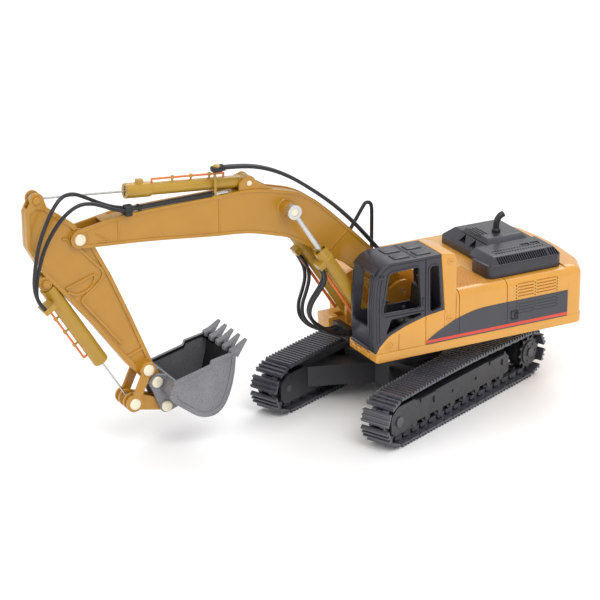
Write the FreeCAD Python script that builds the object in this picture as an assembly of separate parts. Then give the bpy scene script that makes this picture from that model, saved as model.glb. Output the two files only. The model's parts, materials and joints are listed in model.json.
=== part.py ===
"""Toy crawler excavator, 1:40, in millimetres.

+X is forward, +Y left and +Z up, with the origin on the ground at the swing axis.

The undercarriage is drawn square to the axes. The house and all that it carries is drawn square too and is
then turned by SWING about the vertical axis, which is how the toy stands at rest.
"""
import FreeCAD, Part
import math
import os

V = FreeCAD.Vector

# ---- driving dimensions --------------------------------------------------------------------------
SWING = -23.7                    # rest turn of the house, degrees about +Z
RUN = 0.05                       # radial clearance of a turning pin
FIT = 0.02                       # radial clearance of a track pin

# pivots in the side view of the house (x, z)
BOOM_FOOT = (3.8, 53.4)
BOOM_TIP = (164.3, 105.4)
BOOM_ROD = (63.9, 103.6)
BOOM_BASE = (23.2, 42.0)
ARM_BASE = (82.0, 117.8)
ARM_ROD = (182.7, 125.6)
BUCKET_BASE = (180.1, 87.2)
ROCKER = (134.6, 39.5)
BUCKET = (129.9, 32.3)
LINK = (141.6, 24.5)
BUCKET_LINK = (125.4, 19.9)

# undercarriage
TRACK_Y = 32.0                   # centre of a track
SHOE_WIDTH = 14.9
SHOES = 40
IDLER = (54.0, 12.3, 8.8)        # x, z, radius of the pin circle
SPROCKET = (-52.5, 11.8, 8.3)
TRACK_CROWN = 21.9               # height of the pin line in the middle of the top run
PIN_DROP = 3.5                   # from the outside of a shoe to its pin
ROLLER_X = [-28 + 10 * i for i in range(8)]
FRAME_IN, FRAME_OUT = 25.4, 37.7
SLEW_BOTTOM, DECK_BOTTOM, DECK_TOP = 26.0, 33.2, 37.7

# house
HALF_WIDTH = 36.5
ENGINE_TOP = 61.0
WEIGHT_TOP = 61.6                # top of the rear weight
CAB_Y = (15.0, HALF_WIDTH)
CAB_TOP = 80.5
FILLER = (-71.0, -4.0)           # filler cap on the rear weight (x, y)
WALL = 1.2
BRACKET_Y = (5.1, 7.2)

# boom, arm and bucket: half widths
BOOM_HALF, ARM_HALF, BUCKET_HALF = 4.75, 3.0, 15.0
FORK_IN = 3.3                    # inside of the boom's tip fork
CYLINDER_Y = 11.4                # centre line of the two boom cylinders
HOSE_R = 0.85
PORT_ALONG, PORT_OUT = 41.6, 4.5     # hose end on a boom cylinder: along from its base pin, out from its axis
MANIFOLD_Y, MANIFOLD_Z = (-4.7, -2.5, 2.5, 4.7), 36.7
HOSE_PORT_ALONG, HOSE_PORT_OUT = 7.0, 7.4   # hose end on the bucket cylinder, in the same way

# hoses on the boom's back in the side view, from the front fitting down to the boom's foot
BOOM_HOSE = [(96.4, 127.8), (86.5, 127.2), (75.3, 124.6), (63.5, 119.0), (52.9, 111.6), (41.4, 102.6),
             (30.8, 92.4), (22.0, 82.2), (15.6, 74.6)]


# ---- drawing helpers -----------------------------------------------------------------------------
def outline(points, place):
    """A face from corner points; a third number in a point rounds that corner."""
    count = len(points)
    ends = []
    for i, point in enumerate(points):
        corner = V(point[0], point[1], 0)
        back = (V(points[i - 1][0], points[i - 1][1], 0) - corner).normalize()
        ahead = (V(points[(i + 1) % count][0], points[(i + 1) % count][1], 0) - corner).normalize()
        radius = point[2] if len(point) > 2 else 0
        if not radius:
            ends.append((corner, None, corner))
            continue
        half = back.getAngle(ahead) / 2
        reach = radius / math.tan(half)
        middle = corner + (back + ahead).normalize() * (radius / math.sin(half) - radius)
        ends.append((corner + back * reach, middle, corner + ahead * reach))
    edges = []
    for i, (start, middle, stop) in enumerate(ends):
        if middle:
            edges.append(Part.Arc(place(start), place(middle), place(stop)).toShape())
        following = ends[(i + 1) % count][0]
        if stop.distanceToPoint(following) > 1e-6:
            edges.append(Part.LineSegment(place(stop), place(following)).toShape())
    return Part.Face(Part.Wire(edges))


def side_face(points, y=0.0):
    return outline(points, lambda p: V(p.x, y, p.y))


def side(points, y0, y1):
    """A plate drawn in the side view, from y0 to y1."""
    return side_face(points, y0).extrude(V(0, y1 - y0, 0))


def plan(points, z0, z1):
    """A plate drawn from above, from z0 up to z1."""
    return outline(points, lambda p: V(p.x, p.y, z0)).extrude(V(0, 0, z1 - z0))


def front(points, x0, x1):
    """A bar whose section is drawn from the front as (y, z), from x0 to x1."""
    return outline(points, lambda p: V(x0, p.x, p.y)).extrude(V(x1 - x0, 0, 0))


def box(x0, x1, y0, y1, z0, z1):
    return Part.makeBox(x1 - x0, y1 - y0, z1 - z0, V(x0, y0, z0))


def pin(at, radius, y0, y1):
    """A round bar across the machine at the side-view point `at`."""
    return Part.makeCylinder(radius, y1 - y0, V(at[0], y0, at[1]), V(0, 1, 0))


def post(x, y, radius, z0, z1):
    return Part.makeCylinder(radius, z1 - z0, V(x, y, z0))


def rod(a, b, radius):
    return Part.makeCylinder(radius, a.distanceToPoint(b), a, b - a)


def fuse(*shapes):
    return shapes[0].multiFuse(list(shapes[1:])).removeSplitter()


def mirror(shape):
    return shape.mirror(V(0, 0, 0), V(0, 1, 0))


def both(shape):
    """The shape and its mirror image in the centre plane, as one group."""
    return Part.makeCompound([shape, mirror(shape)])


def bar(a, ra, b, rb, y0, y1):
    """A flat link: round ends of radius ra and rb joined by tangent edges."""
    ax, az = a
    bx, bz = b
    gap = math.hypot(bx - ax, bz - az)
    turn = math.atan2(bz - az, bx - ax)
    lean = math.acos((ra - rb) / gap)
    corners = []
    for centre, radius, side_angle in ((a, ra, lean), (b, rb, lean), (b, rb, -lean), (a, ra, -lean)):
        angle = turn + side_angle
        corners.append((centre[0] + radius * math.cos(angle), centre[1] + radius * math.sin(angle)))
    return fuse(side(corners, y0, y1), pin(a, ra, y0, y1), pin(b, rb, y0, y1))


def point_along(a, b, distance, offset=0.0):
    """Side-view point at `distance` from a towards b, moved sideways (left of the direction) by offset."""
    length = math.hypot(b[0] - a[0], b[1] - a[1])
    ux, uz = (b[0] - a[0]) / length, (b[1] - a[1]) / length
    return (a[0] + ux * distance - uz * offset, a[1] + uz * distance + ux * offset)


def at(point, y):
    return V(point[0], y, point[1])


def lay(shape, a, b, y=0.0):
    """Turn a shape drawn along +X from the origin onto the side-view line from a to b."""
    angle = math.degrees(math.atan2(b[1] - a[1], b[0] - a[0]))
    placed = shape.copy()
    placed.rotate(V(0, 0, 0), V(0, 1, 0), -angle)
    placed.translate(at(a, y))
    return placed


def hose_path(points):
    """Straight runs joined by tangent arcs, each as large as its two runs allow."""
    edges, radii = [], []
    last = points[0]
    for before, corner, after in zip(points, points[1:], points[2:]):
        back, ahead = before - corner, after - corner
        shorter = min(back.Length, ahead.Length)
        back.normalize()
        ahead.normalize()
        half_turn = (math.pi - back.getAngle(ahead)) / 2
        reach = 0.45 * shorter
        radius = reach / math.tan(half_turn)
        middle = corner + (back + ahead).normalize() * (radius / math.cos(half_turn) - radius)
        start, stop = corner + back * reach, corner + ahead * reach
        edges.append(Part.LineSegment(last, start).toShape())
        edges.append(Part.Arc(start, middle, stop).toShape())
        radii.append(radius)
        last = stop
    edges.append(Part.LineSegment(last, points[-1]).toShape())
    return Part.Wire(edges), radii


def hose(name, points, radius=HOSE_R):
    """A round hose along the path; prints its length, its bend radii and how well its volume agrees."""
    path, radii = hose_path(points)
    direction = points[1] - points[0]
    section = Part.Wire(Part.makeCircle(radius, points[0], direction))
    tube = path.makePipeShell([section], True, False)
    tube = tube if tube.ShapeType == "Solid" else Part.makeSolid(tube)
    wanted = math.pi * radius ** 2 * path.Length
    print(f"{name}: length {path.Length:.1f}, radii {[round(r, 1) for r in radii]},"
          f" volume {tube.Volume:.2f} of {wanted:.2f}")
    return tube


saved = {}


def save(name, shape, house=True, clear_of=()):
    """Write one node, trimmed where it meets earlier ones; the house is turned to its rest position first."""
    placed = shape.copy()
    if house:
        placed.rotate(V(0, 0, 0), V(0, 0, 1), SWING)
    for other in clear_of:
        placed = placed.cut(saved[other])
    if not placed.isValid():
        print("INVALID", name)
    saved[name] = placed
    os.makedirs("parts", exist_ok=True)
    placed.exportStep(f"parts/{name}.step")
    print(f"{name}: {len(placed.Solids)} solids, {placed.Volume:.0f} mm3")


# ---- tracks --------------------------------------------------------------------------------------
def track_line(steps=720):
    """Side-view points of the closed line through the track pins, starting under the idler."""
    ix, iz, ir = IDLER
    sx, sz, sr = SPROCKET
    points = []
    for i in range(steps // 6):
        angle = -math.pi / 2 + math.pi * i / (steps // 6)
        points.append((ix + ir * math.cos(angle), iz + ir * math.sin(angle)))
    top_front, top_rear = iz + ir, sz + sr
    for i in range(steps // 3):
        share = i / (steps // 3)
        x = ix + (sx - ix) * share
        straight = top_front + (top_rear - top_front) * share
        crown = TRACK_CROWN - (top_front + top_rear) / 2
        points.append((x, straight + crown * math.sin(math.pi * share)))
    for i in range(steps // 6):
        angle = math.pi / 2 + math.pi * i / (steps // 6)
        points.append((sx + sr * math.cos(angle), sz + sr * math.sin(angle)))
    for i in range(steps // 3):
        share = i / (steps // 3)
        points.append((sx + (ix - sx) * share, PIN_DROP))
    return points


def step_along(line, start, pitch):
    """From the position `start` (index and fraction), the next position one straight pitch away."""
    here = position(line, start)
    index = int(start) + 1
    while math.dist(position(line, index), here) < pitch:
        index += 1
    low, high = index - 1.0, float(index)
    for _ in range(30):
        middle = (low + high) / 2
        if math.dist(position(line, middle), here) < pitch:
            low = middle
        else:
            high = middle
    return high


def position(line, where):
    index, share = int(where), where - int(where)
    ax, az = line[index % len(line)]
    bx, bz = line[(index + 1) % len(line)]
    return (ax + (bx - ax) * share, az + (bz - az) * share)


def pin_places():
    """The pins of one track, all the same distance apart, and that distance."""
    line = track_line()
    low, high = 6.0, 9.0
    for _ in range(40):
        pitch = (low + high) / 2
        where = 0.0
        for _ in range(SHOES):
            where = step_along(line, where, pitch)
        if where < len(line):
            low = pitch
        else:
            high = pitch
    places, where = [], 0.0
    for _ in range(SHOES):
        places.append(position(line, where))
        where = step_along(line, where, pitch)
    return places, pitch


def shoe(pitch):
    """One track shoe along +X from pin to pin, its outside towards -Z, with three grousers and hinge lugs."""
    half = SHOE_WIDTH / 2
    top, inner = -(PIN_DROP - 1.0), -1.6
    pieces = [box(0.2, pitch - 0.2, -half, half, top, inner)]
    for x in (1.1, pitch / 2, pitch - 1.1):
        root, tip = top + 0.1, -PIN_DROP
        pieces.append(side([(x - 0.6, root), (x + 0.6, root), (x + 0.35, tip), (x - 0.35, tip)], -half, half))
    middle = pitch / 2
    lugs = []
    for y0, y1, end in ((2.0, 3.0, 0.0), (3.1, 4.1, pitch)):
        for sign in (1, -1):
            a, b = sorted((sign * y0, sign * y1))
            reach = sorted((middle + (0.9 if end == 0.0 else -0.9), end))
            lugs.append(fuse(box(reach[0], reach[1], a, b, -1.0, 1.0), pin((end, 0), 1.0, a, b)))
    for sign in (1, -1):
        a, b = sorted((sign * 2.0, sign * 4.1))
        lugs.append(box(middle - 0.9, middle + 0.9, a, b, inner - 0.1, 1.0))
    body = fuse(*(pieces + lugs))
    return body.cut(pin((0, 0), 0.5, -5, 5)).cut(pin((pitch, 0), 0.5, -5, 5))


def track(y):
    """The shoes and pins of the track whose centre is at y."""
    places, pitch = pin_places()
    link = shoe(pitch)
    shoes, pins = [], []
    for here, following in zip(places, places[1:] + places[:1]):
        shoes.append(lay(link, here, following, y))
        pins.append(pin(here, 0.5 - FIT, y - 4.1, y + 4.1))
    return Part.makeCompound(shoes), Part.makeCompound(pins)


def wheel_holes(shape):
    for x, z, _ in (IDLER, SPROCKET):
        shape = shape.cut(pin((x, z), 1.5, 20, 40))
    return shape


def track_frame():
    """The left track frame: two side plates joined by a box beam, with ears for the roller axles."""
    outer = side([(60, 8.5, 2), (60, 16, 4), (55, 19.5, 3), (42.5, 19.5), (41, 18.5), (-31, 18.5, 1),
                  (-34, 16, 1), (-34, 8, 1), (43.5, 8), (46, 6, 1), (57, 6, 2)], 36.7, FRAME_OUT)
    inner = side([(60, 8.5, 2), (60, 16, 3), (55, 19, 3), (-50, 19, 3), (-59, 14, 3), (-59, 9, 3),
                  (-50, 5.5, 2), (57, 5.5, 2)], FRAME_IN, FRAME_IN + WALL)
    beam = front([(26.6, 12), (36.7, 12), (36.7, 18.3), (34, 19), (26.6, 19)], -33, 41)
    beam = beam.cut(front([(28, 10), (35.3, 10), (35.3, 16.8), (28, 16.8)], -31.5, 39.5))
    pieces = [inner, beam]
    for x in ROLLER_X:
        pieces.append(pin((x, 7.55), 1.9, 36.7, FRAME_OUT))
    for x in (32, -23.75):
        pieces.append(box(x - 6, x + 6, FRAME_OUT, FRAME_OUT + 0.6, 16.5, 18.3))
        pieces.append(box(x - 6, x - 4.6, FRAME_OUT, FRAME_OUT + 0.6, 13.0, 16.5))
    frame = fuse(outer, *pieces)
    for x in ROLLER_X:
        frame = frame.cut(pin((x, 7.55), 1.0, 20, 40))
    for x in (12.5, -6.5):
        frame = frame.cut(pin((x, 13.5), 0.9, FRAME_OUT - 0.5, FRAME_OUT + 1))
    return wheel_holes(frame)


def rollers():
    """The rollers of the left track, each one piece with its axle."""
    group = []
    for x in ROLLER_X:
        group.append(fuse(pin((x, 7.55), 3.0, 27.7, 36.3), pin((x, 7.55), 1.0, FRAME_IN, FRAME_OUT)))
    return Part.makeCompound(group)


def axles():
    """Idler and sprocket axles of the left track, headed on the outside."""
    idler = fuse(pin(IDLER[:2], 1.5, FRAME_IN, 38.0), pin(IDLER[:2], 2.4, FRAME_OUT, 38.3))
    drive = fuse(pin(SPROCKET[:2], 1.5, FRAME_IN, 38.0), pin(SPROCKET[:2], 2.2, 37.75, 38.3))
    return Part.makeCompound([idler, drive])


def idler_wheel():
    """Front wheel: a rim, a wider drum with a dished face on each side, and the axle's bore."""
    centre = IDLER[:2]
    rim = pin(centre, 8.1, TRACK_Y - 1.8, TRACK_Y + 1.8)
    wheel = fuse(rim, pin(centre, 6.9, TRACK_Y - 4.5, TRACK_Y + 4.5))
    hub = pin(centre, 2.8, TRACK_Y - 6, TRACK_Y + 6)
    for y0, y1 in ((3.3, 5), (-5, -3.3)):
        wheel = wheel.cut(pin(centre, 5.6, TRACK_Y + y0, TRACK_Y + y1).cut(hub))
    return wheel.cut(pin(centre, 1.5 + RUN, TRACK_Y - 6, TRACK_Y + 6))


def sprocket_wheel():
    """Drive wheel: a drum, a toothed ring beside the hinge lugs and a hub cap on the outside."""
    x, z, _ = SPROCKET
    centre = (x, z)
    pieces = [pin(centre, 7.0, TRACK_Y + 4.4, TRACK_Y + 5.1), pin(centre, 5.8, TRACK_Y + 5.1, TRACK_Y + 5.7),
              pin(centre, 7.4, TRACK_Y - 1.8, TRACK_Y + 1.8)]
    teeth = 13
    for i in range(teeth):
        tooth = side([(6.5, -0.95), (8.6, -0.45), (8.6, 0.45), (6.5, 0.95)], TRACK_Y + 4.4, TRACK_Y + 5.1)
        tooth.rotate(V(0, 0, 0), V(0, 1, 0), i * 360 / teeth)
        tooth.translate(V(x, 0, z))
        pieces.append(tooth)
    wheel = fuse(pin(centre, 6.2, TRACK_Y - 4.4, TRACK_Y + 4.4), *pieces)
    for i in range(6):
        turn = math.radians(60 * i)
        bolt = (x + 4.2 * math.cos(turn), z + 4.2 * math.sin(turn))
        wheel = wheel.cut(pin(bolt, 0.5, TRACK_Y + 5.3, TRACK_Y + 6))
    return wheel.cut(pin(centre, 1.5 + RUN, TRACK_Y - 6, TRACK_Y + 6))


def car_body():
    """Centre casting: a round pedestal with four legs that reach the track frames."""
    pieces = [post(0, 0, 19, 21.5, SLEW_BOTTOM), box(-16, 16, -22, 22, 8, 21.5)]
    for sx in (1, -1):
        for sy in (1, -1):
            leg = [(6, 8), (22, FRAME_IN), (40, FRAME_IN), (16, 4)]
            pieces.append(plan([(sx * x, sy * y) for x, y in leg], 8.5, 18.5))
    body = fuse(*pieces)
    body = body.cut(box(-14, 14, -20, 20, 7, 18.5))
    return body.cut(post(0, 0, 4.0, 5, 30))


def undercarriage():
    save("car_body", car_body(), house=False)
    save("slew_ring", post(0, 0, 15, SLEW_BOTTOM, DECK_BOTTOM - RUN).cut(post(0, 0, 12, 20, 40)), house=False)
    frame, wheels, roller_set = track_frame(), axles(), rollers()
    shoes, pins = track(TRACK_Y)
    idler, drive = idler_wheel(), sprocket_wheel()
    save("track_rollers", both(roller_set), house=False)
    save("wheel_axles", both(wheels), house=False)
    save("track_pins", both(pins), house=False)
    for name, flip in (("left", lambda shape: shape), ("right", mirror)):
        save(f"track_frame_{name}", flip(frame), house=False)
        save(f"track_shoes_{name}", flip(shoes), house=False)
        save(f"idler_{name}", flip(idler), house=False)
        save(f"sprocket_{name}", flip(drive), house=False)


# ---- house ---------------------------------------------------------------------------------------
def rear_outline(inset):
    """The left half of the house's bulging rear end, seen from above."""
    return [(-76 + inset, HALF_WIDTH - inset, 5), (-82 + inset, 25 - inset / 2, 10), (-84 + inset, 8, 10)]


def deck():
    """The turntable plate with a shallow pocket on top and a step at its front right."""
    rear = rear_outline(0)
    corners = [(34.7, HALF_WIDTH, 1.5)] + rear + [(x, -y, radius) for x, y, radius in reversed(rear)]
    corners += [(20, -HALF_WIDTH, 2), (20, -20.5), (34.6, -20.5, 1), (34.6, -9.2), (30, -9.2)]
    corners += [(30, 11), (34.7, 11)]
    plate = plan(corners, DECK_BOTTOM, DECK_TOP)
    pocket = [(30, 32), (-66, 32), (-74, 18), (-76, -18), (-66, -32), (16, -32), (16, -5), (26, -5), (26, 14),
              (30, 14)]
    plate = plate.cut(plan(pocket, DECK_BOTTOM + 2.2, DECK_TOP + 1).cut(box(-20, 30, -15, 15, 30, 40)))
    step = [(22, -20.5), (34.6, -20.5), (34.6, -9.2), (29, -9.2), (29, -14.9), (22, -14.9)]
    return fuse(plate, plan(step, DECK_TOP, 40)).cut(post(0, 0, 3.95, 30, 40))


def slew_pivot():
    """The post that the house turns on, with a flange under the car body's top."""
    return fuse(post(0, 0, 3.95, 17.0, DECK_TOP), post(0, 0, 6.5, 16.4, 18.4))


CAB_SIDE = [(35.5, DECK_TOP), (36.4, 45), (36.5, 60), (35.5, 72), (34.5, 76), (32, 78.7), (28.5, CAB_TOP),
            (1.4, CAB_TOP), (-0.8, 53.2), (-0.8, DECK_TOP)]
CAB_INSIDE = [(34.2, 30), (35.1, 45), (35.2, 60), (34.2, 71.6), (33.3, 75), (31.2, 77.5), (28, 79.2),
              (2.6, 79.2), (0.4, 53), (0.4, 30)]
CAB_ROOF = [(1.4, 79.2), (28, 79.2), (31.2, 77.5), (33.3, 75), (34.5, 76), (32, 78.7), (28.5, CAB_TOP),
            (1.4, CAB_TOP)]
CAB_PANEL = [(35.6, DECK_TOP), (33.4, 41), (28.6, 45.5, 8), (20, 49), (9, 52, 20), (-0.8, 53.2),
             (-0.8, DECK_TOP)]


def cab_shell():
    """The hollow cab without its roof and lower side panel, with window openings in four sides."""
    y0, y1 = CAB_Y
    shell = side(CAB_SIDE, y0, y1).cut(side(CAB_INSIDE, y0 + WALL, y1 - WALL))
    shell = shell.cut(side(CAB_ROOF, y0 - 2, y1 + 2))
    shell = shell.cut(side(CAB_PANEL, y1 - WALL, y1 + 1))
    near = y1 - WALL - 1, y1 + 1
    windows = [side([(28.2, 75.6, 1.5), (13.2, 76.3, 1), (12, 56.4, 1), (31.8, 56.8, 1)], *near),
               side([(7.2, 75.3, 1.5), (3.1, 75.3, 1), (1.2, 54.8, 1), (6.8, 53.8, 1)], *near),
               side([(27.3, 53.5, 0.5), (11.5, 54, 0.5), (12, 52.6), (22, 49.6), (30.5, 46)], *near),
               side([(29, 76, 1.5), (4, 76, 1.5), (2.6, 52, 1.5), (32, 52, 1.5)], y0 - 1, y0 + 2),
               front([(16.6, 49.4, 1), (30.8, 49.4, 1), (30.8, 77, 1), (16.6, 77, 1)], 31, 40)]
    for window in windows:
        shell = shell.cut(window)
    return shell


def cab_roof():
    """The roof panel, curved down at the front, with four raised fields."""
    roof = side(CAB_ROOF, 14.8, CAB_Y[1])
    ribs = [box(6, 12, 18, 24, CAB_TOP, CAB_TOP + 0.4), box(6, 12, 27, 33, CAB_TOP, CAB_TOP + 0.4),
            box(15, 22, 18, 24, CAB_TOP, CAB_TOP + 0.4), box(15, 22, 27, 33, CAB_TOP, CAB_TOP + 0.4)]
    return fuse(roof, *ribs)


def cab_inside():
    """The seat with its base and floor, and the two consoles."""
    seat = fuse(box(6, 17, 20, 31, 44, 47), side([(6, 47), (9, 47), (7.5, 63, 1), (4.5, 63, 1)], 20.5, 30.5),
                box(9, 14, 23, 28, 41.1, 44))
    console = fuse(box(22, 27, 22, 28, 41.1, 50), box(6, 20, 32, 34.3, 41.1, 50))
    floor = box(0.8, 33.8, 16.5, 35.2, DECK_TOP, DECK_TOP + 0.8)
    base = box(4, 30, 18, 34.5, DECK_TOP + 0.8, 41.1)
    return fuse(seat, base, floor), console


def cab_rear_wall():
    """The yellow block behind the cab, hollow from below, with two screw heads on its side."""
    outer = side([(-0.8, DECK_TOP), (-0.8, 53.2), (1.4, 80.8, 0.8), (-6, 79), (-7, 77), (-7, DECK_TOP)],
                 14.2, HALF_WIDTH)
    inner = side([(-1.9, 30), (-1.9, 53.3), (0.2, 79), (-5.4, 77.6), (-5.8, 76), (-5.8, 30)], 15.4, 35.3)
    wall = outer.cut(inner)
    screws = [pin(place, 1.3, HALF_WIDTH, 36.9) for place in ((-3.3, 76.3), (-3.1, 48.6))]
    return fuse(wall, *screws)


def engine_cover():
    """The yellow engine casing: rounded along its top edges, open below, with louvres in both sides."""
    section = [(-HALF_WIDTH, DECK_TOP), (-HALF_WIDTH, ENGINE_TOP, 3.5), (HALF_WIDTH, ENGINE_TOP, 3.5),
               (HALF_WIDTH, DECK_TOP)]
    room = [(-35, 30), (-35, ENGINE_TOP - 1.5, 2), (35, ENGINE_TOP - 1.5, 2), (35, 30)]
    cover = front(section, -68.2, -7).cut(front(room, -67, -8.4))
    for x in (-8.6, -34.5, -68.2):
        cover = cover.cut(front([(36.1, 30), (37, 30), (37, 62), (36.1, 59)], x - 0.2, x + 0.2))
    for z in (57.4, 55.9, 54.4, 52.9, 49.5, 48.0, 46.5, 45.0):
        for x0, x1 in ((-49.2, -40.2), (-61.4, -50.4)):
            for sign in (1, -1):
                y0, y1 = sorted((sign * 36.1, sign * 37))
                cover = cover.cut(box(x0, x1, y0, y1, z - 0.25, z + 0.25))
    return cover


def counterweight():
    """The rear weight: bulging out behind, its top edge rounded off in steps."""
    layers = []
    for inset, z0, z1 in ((0, DECK_TOP, 55.0), (0.8, 55.0, 58.0), (2.2, 58.0, 60.2), (4.0, 60.2, WEIGHT_TOP)):
        rear = rear_outline(inset)
        left = [(-68.2, HALF_WIDTH - inset)] + [(x, y, min(radius, 4)) for x, y, radius in rear]
        right = [(x, -y) + tuple(rest) for x, y, *rest in reversed(left)]
        layers.append(plan(left + right, z0, z1))
    return fuse(*layers)


def engine_hood():
    """The black hood: a low lobe on the left, a centre section set back and a raised tier."""
    lobe = plan([(-27, 31.8, 1.5), (-27, 17), (-68, 17), (-68, 31.8, 1.5)], ENGINE_TOP, 67.4)
    lobe_top = front([(12, 67.4), (31.8, 67.4), (27.6, 70.4), (12, 70.4)], -66.5, -29.0)
    centre = plan([(-35.3, 17), (-35.3, -25, 1.5), (-68, -25, 1.5), (-68, 17)], ENGINE_TOP, 65.0)
    centre_top = side([(-35.3, 65), (-40, 69.6), (-64.5, 69.6), (-68, 65)], -25, 17)
    slope = front([(-25, 60), (-25, 65), (-19.5, 69.6), (17, 69.6), (17, 60)], -70, -30)
    centre_top = centre_top.common(slope)
    tier = front([(-12, 69.6), (-9.5, 71.6), (7.5, 71.6), (11, 69.6)], -60, -40)
    hood = fuse(lobe, lobe_top, centre, centre_top, tier)
    for i in range(26):
        x = -33.5 - 1.2 * i
        slot = front([(27.9, 69.6), (30.6, 67.7), (31.6, 68.4), (28.9, 71)], x - 0.25, x + 0.25)
        hood = hood.cut(slot)
    return hood.cut(post(-50, 1.5, 1.5, 70.6, 80))


def exhaust_pipe():
    """The bent exhaust stack with an open end."""
    path = [V(-50, 1.5, 70.6), V(-50, 1.5, 75.6), V(-51.2, 1.5, 78.6), V(-53.8, 1.5, 80.2)]
    return hose("exhaust_pipe", path, 1.5).cut(rod(path[-1], path[-1] * 2 - path[-2], 0.9))


def handrail():
    """The rail that stands on the tool box: up at the back, round and down a slope to the front."""
    line = [(-1.8, 58), (-1.8, 82.8), (0.8, 85.3), (3.6, 81.8), (19.6, 58)]
    return hose("handrail", [V(x, -33, z) for x, z in line], 0.9)


def bracket_plate():
    """One of the two plates that carry the boom foot and the bases of the boom cylinders."""
    y0, y1 = BRACKET_Y
    plate = side([(-2.0, DECK_TOP), (-1.7, 50), (0, 58, 4), (6, 58.8, 4), (11, 56), (24, 63.8, 1.5),
                  (29, 61.5, 2), (27, 50, 6), (27.4, 42), (27, DECK_TOP)], y0, y1)
    bosses = [pin(BOOM_FOOT, 5.4, y0, y1), pin(BOOM_BASE, 4.1, y0, y1), pin(BOOM_BASE, 2.5, y1, 9.2)]
    plate = fuse(plate, *bosses)
    plate = plate.cut(side([(25.5, 59.5, 1), (23, 58.5, 1), (20.5, 51.5, 2), (23.6, 49, 1)], 0, 10))
    plate = plate.cut(pin(BOOM_FOOT, 1.4, 0, 10)).cut(pin(BOOM_BASE, 1.5, 0, 12))
    return plate.cut(box(-99, 99, 0, 12, 0, DECK_TOP))


def right_body():
    """The tool box on the right, joined to the low wall behind the boom foot."""
    chest = front([(-36.5, DECK_TOP), (-36.5, 58, 2.5), (-15.2, 58, 1), (-15.2, DECK_TOP)], -7, 20)
    chest = chest.cut(box(-5.8, 18.8, -35.3, -16.4, 30, 56.8))
    wall = box(-7, -2.2, -15.2, 14.2, DECK_TOP, 62).cut(box(-5.8, -3.4, -14, 13, 30, 60.8))
    return fuse(chest, wall)


def hose_manifold():
    """The block in the front of the deck with four fittings."""
    fittings = [Part.makeCylinder(1.2, 2.0, V(33.5, y, MANIFOLD_Z), V(1, 0, 0)) for y in MANIFOLD_Y]
    return fuse(box(30, 33.5, -7, 7.5, 33.6, 39.5), *fittings)


def cylinder_hoses(sign):
    """The two hoses from the deck's manifold to the port of one boom cylinder."""
    if sign > 0:
        route = [(47.9, 71.0, 11.0), (48.1, 67.2, 10.8), (50.9, 62.6, 10.2), (54.2, 57.6, 9.4),
                 (54.9, 52.0, 8.4), (51.4, 46.6, 7.0), (45.6, 41.8, 5.4), (39.8, 38.2, 4.0)]
    else:
        route = [(47.4, 70.6, -11.2), (45.3, 66.0, -11.1), (44.9, 61.0, -11.0), (46.9, 55.4, -10.4),
                 (49.6, 49.8, -9.6), (49.8, 44.0, -8.4), (46.0, 39.2, -6.4), (40.4, 37.0, -4.4)]
    start = point_along(BOOM_BASE, BOOM_ROD, PORT_ALONG, -PORT_OUT)
    tubes = []
    for outside in (1, -1):
        points = [at(start, sign * (CYLINDER_Y + 1.6 * outside))]
        for step, (x, z, y) in enumerate(route):
            points.append(V(x + 0.3 * outside, y + sign * outside * (1.6 - 0.07 * step), z))
        points.append(V(35.5, sign * (3.6 + 1.1 * outside), MANIFOLD_Z))
        tubes.append(hose(f"boom_cylinder_hose {sign}", points))
    return Part.makeCompound(tubes)


def house():
    save("deck", deck())
    save("slew_pivot", slew_pivot())
    save("cab_shell", cab_shell())
    save("cab_roof", cab_roof())
    save("cab_side_panel", side(CAB_PANEL, CAB_Y[1] - WALL, CAB_Y[1]))
    seat, console = cab_inside()
    save("cab_interior", Part.makeCompound([seat, console]))
    save("cab_rear_wall", cab_rear_wall())
    save("engine_cover", engine_cover())
    save("counterweight", counterweight())
    save("engine_hood", engine_hood())
    save("exhaust_pipe", exhaust_pipe())
    save("filler_cap", fuse(post(*FILLER, 2.6, WEIGHT_TOP, 63.4), post(*FILLER, 1.8, 63.4, 64.6)))
    save("right_body", right_body())
    save("handrail", handrail(), clear_of=["right_body"])
    save("boom_bracket", both(bracket_plate()))
    foot_pin, base_pin = pin(BOOM_FOOT, 1.4, -6.3, 6.3), pin(BOOM_BASE, 1.5, -14.4, 14.4)
    save("bracket_pins", Part.makeCompound([foot_pin, base_pin]))
    save("hose_manifold", hose_manifold())


# ---- boom ----------------------------------------------------------------------------------------
BOOM_OUTLINE = [(165.5, 109.6), (146.1, 112.9), (130.2, 113.8), (99.8, 114.4), (83.9, 115), (75, 114),
                (68, 112.6), (58.3, 109.9), (51, 106.2), (43.7, 100.4), (32.7, 90), (20.5, 77.8), (5, 61.5),
                (-1.2, 55), (1.0, 48.9), (7.5, 49.6), (21.2, 61.4), (31.5, 69.9), (38.8, 74.8),
                (60.7, 87.8), (68, 90.6), (80.2, 93.9), (88.8, 95.1), (99.8, 95.9), (129, 98.8),
                (146.1, 100), (158.3, 100.7), (166, 102)]


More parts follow.
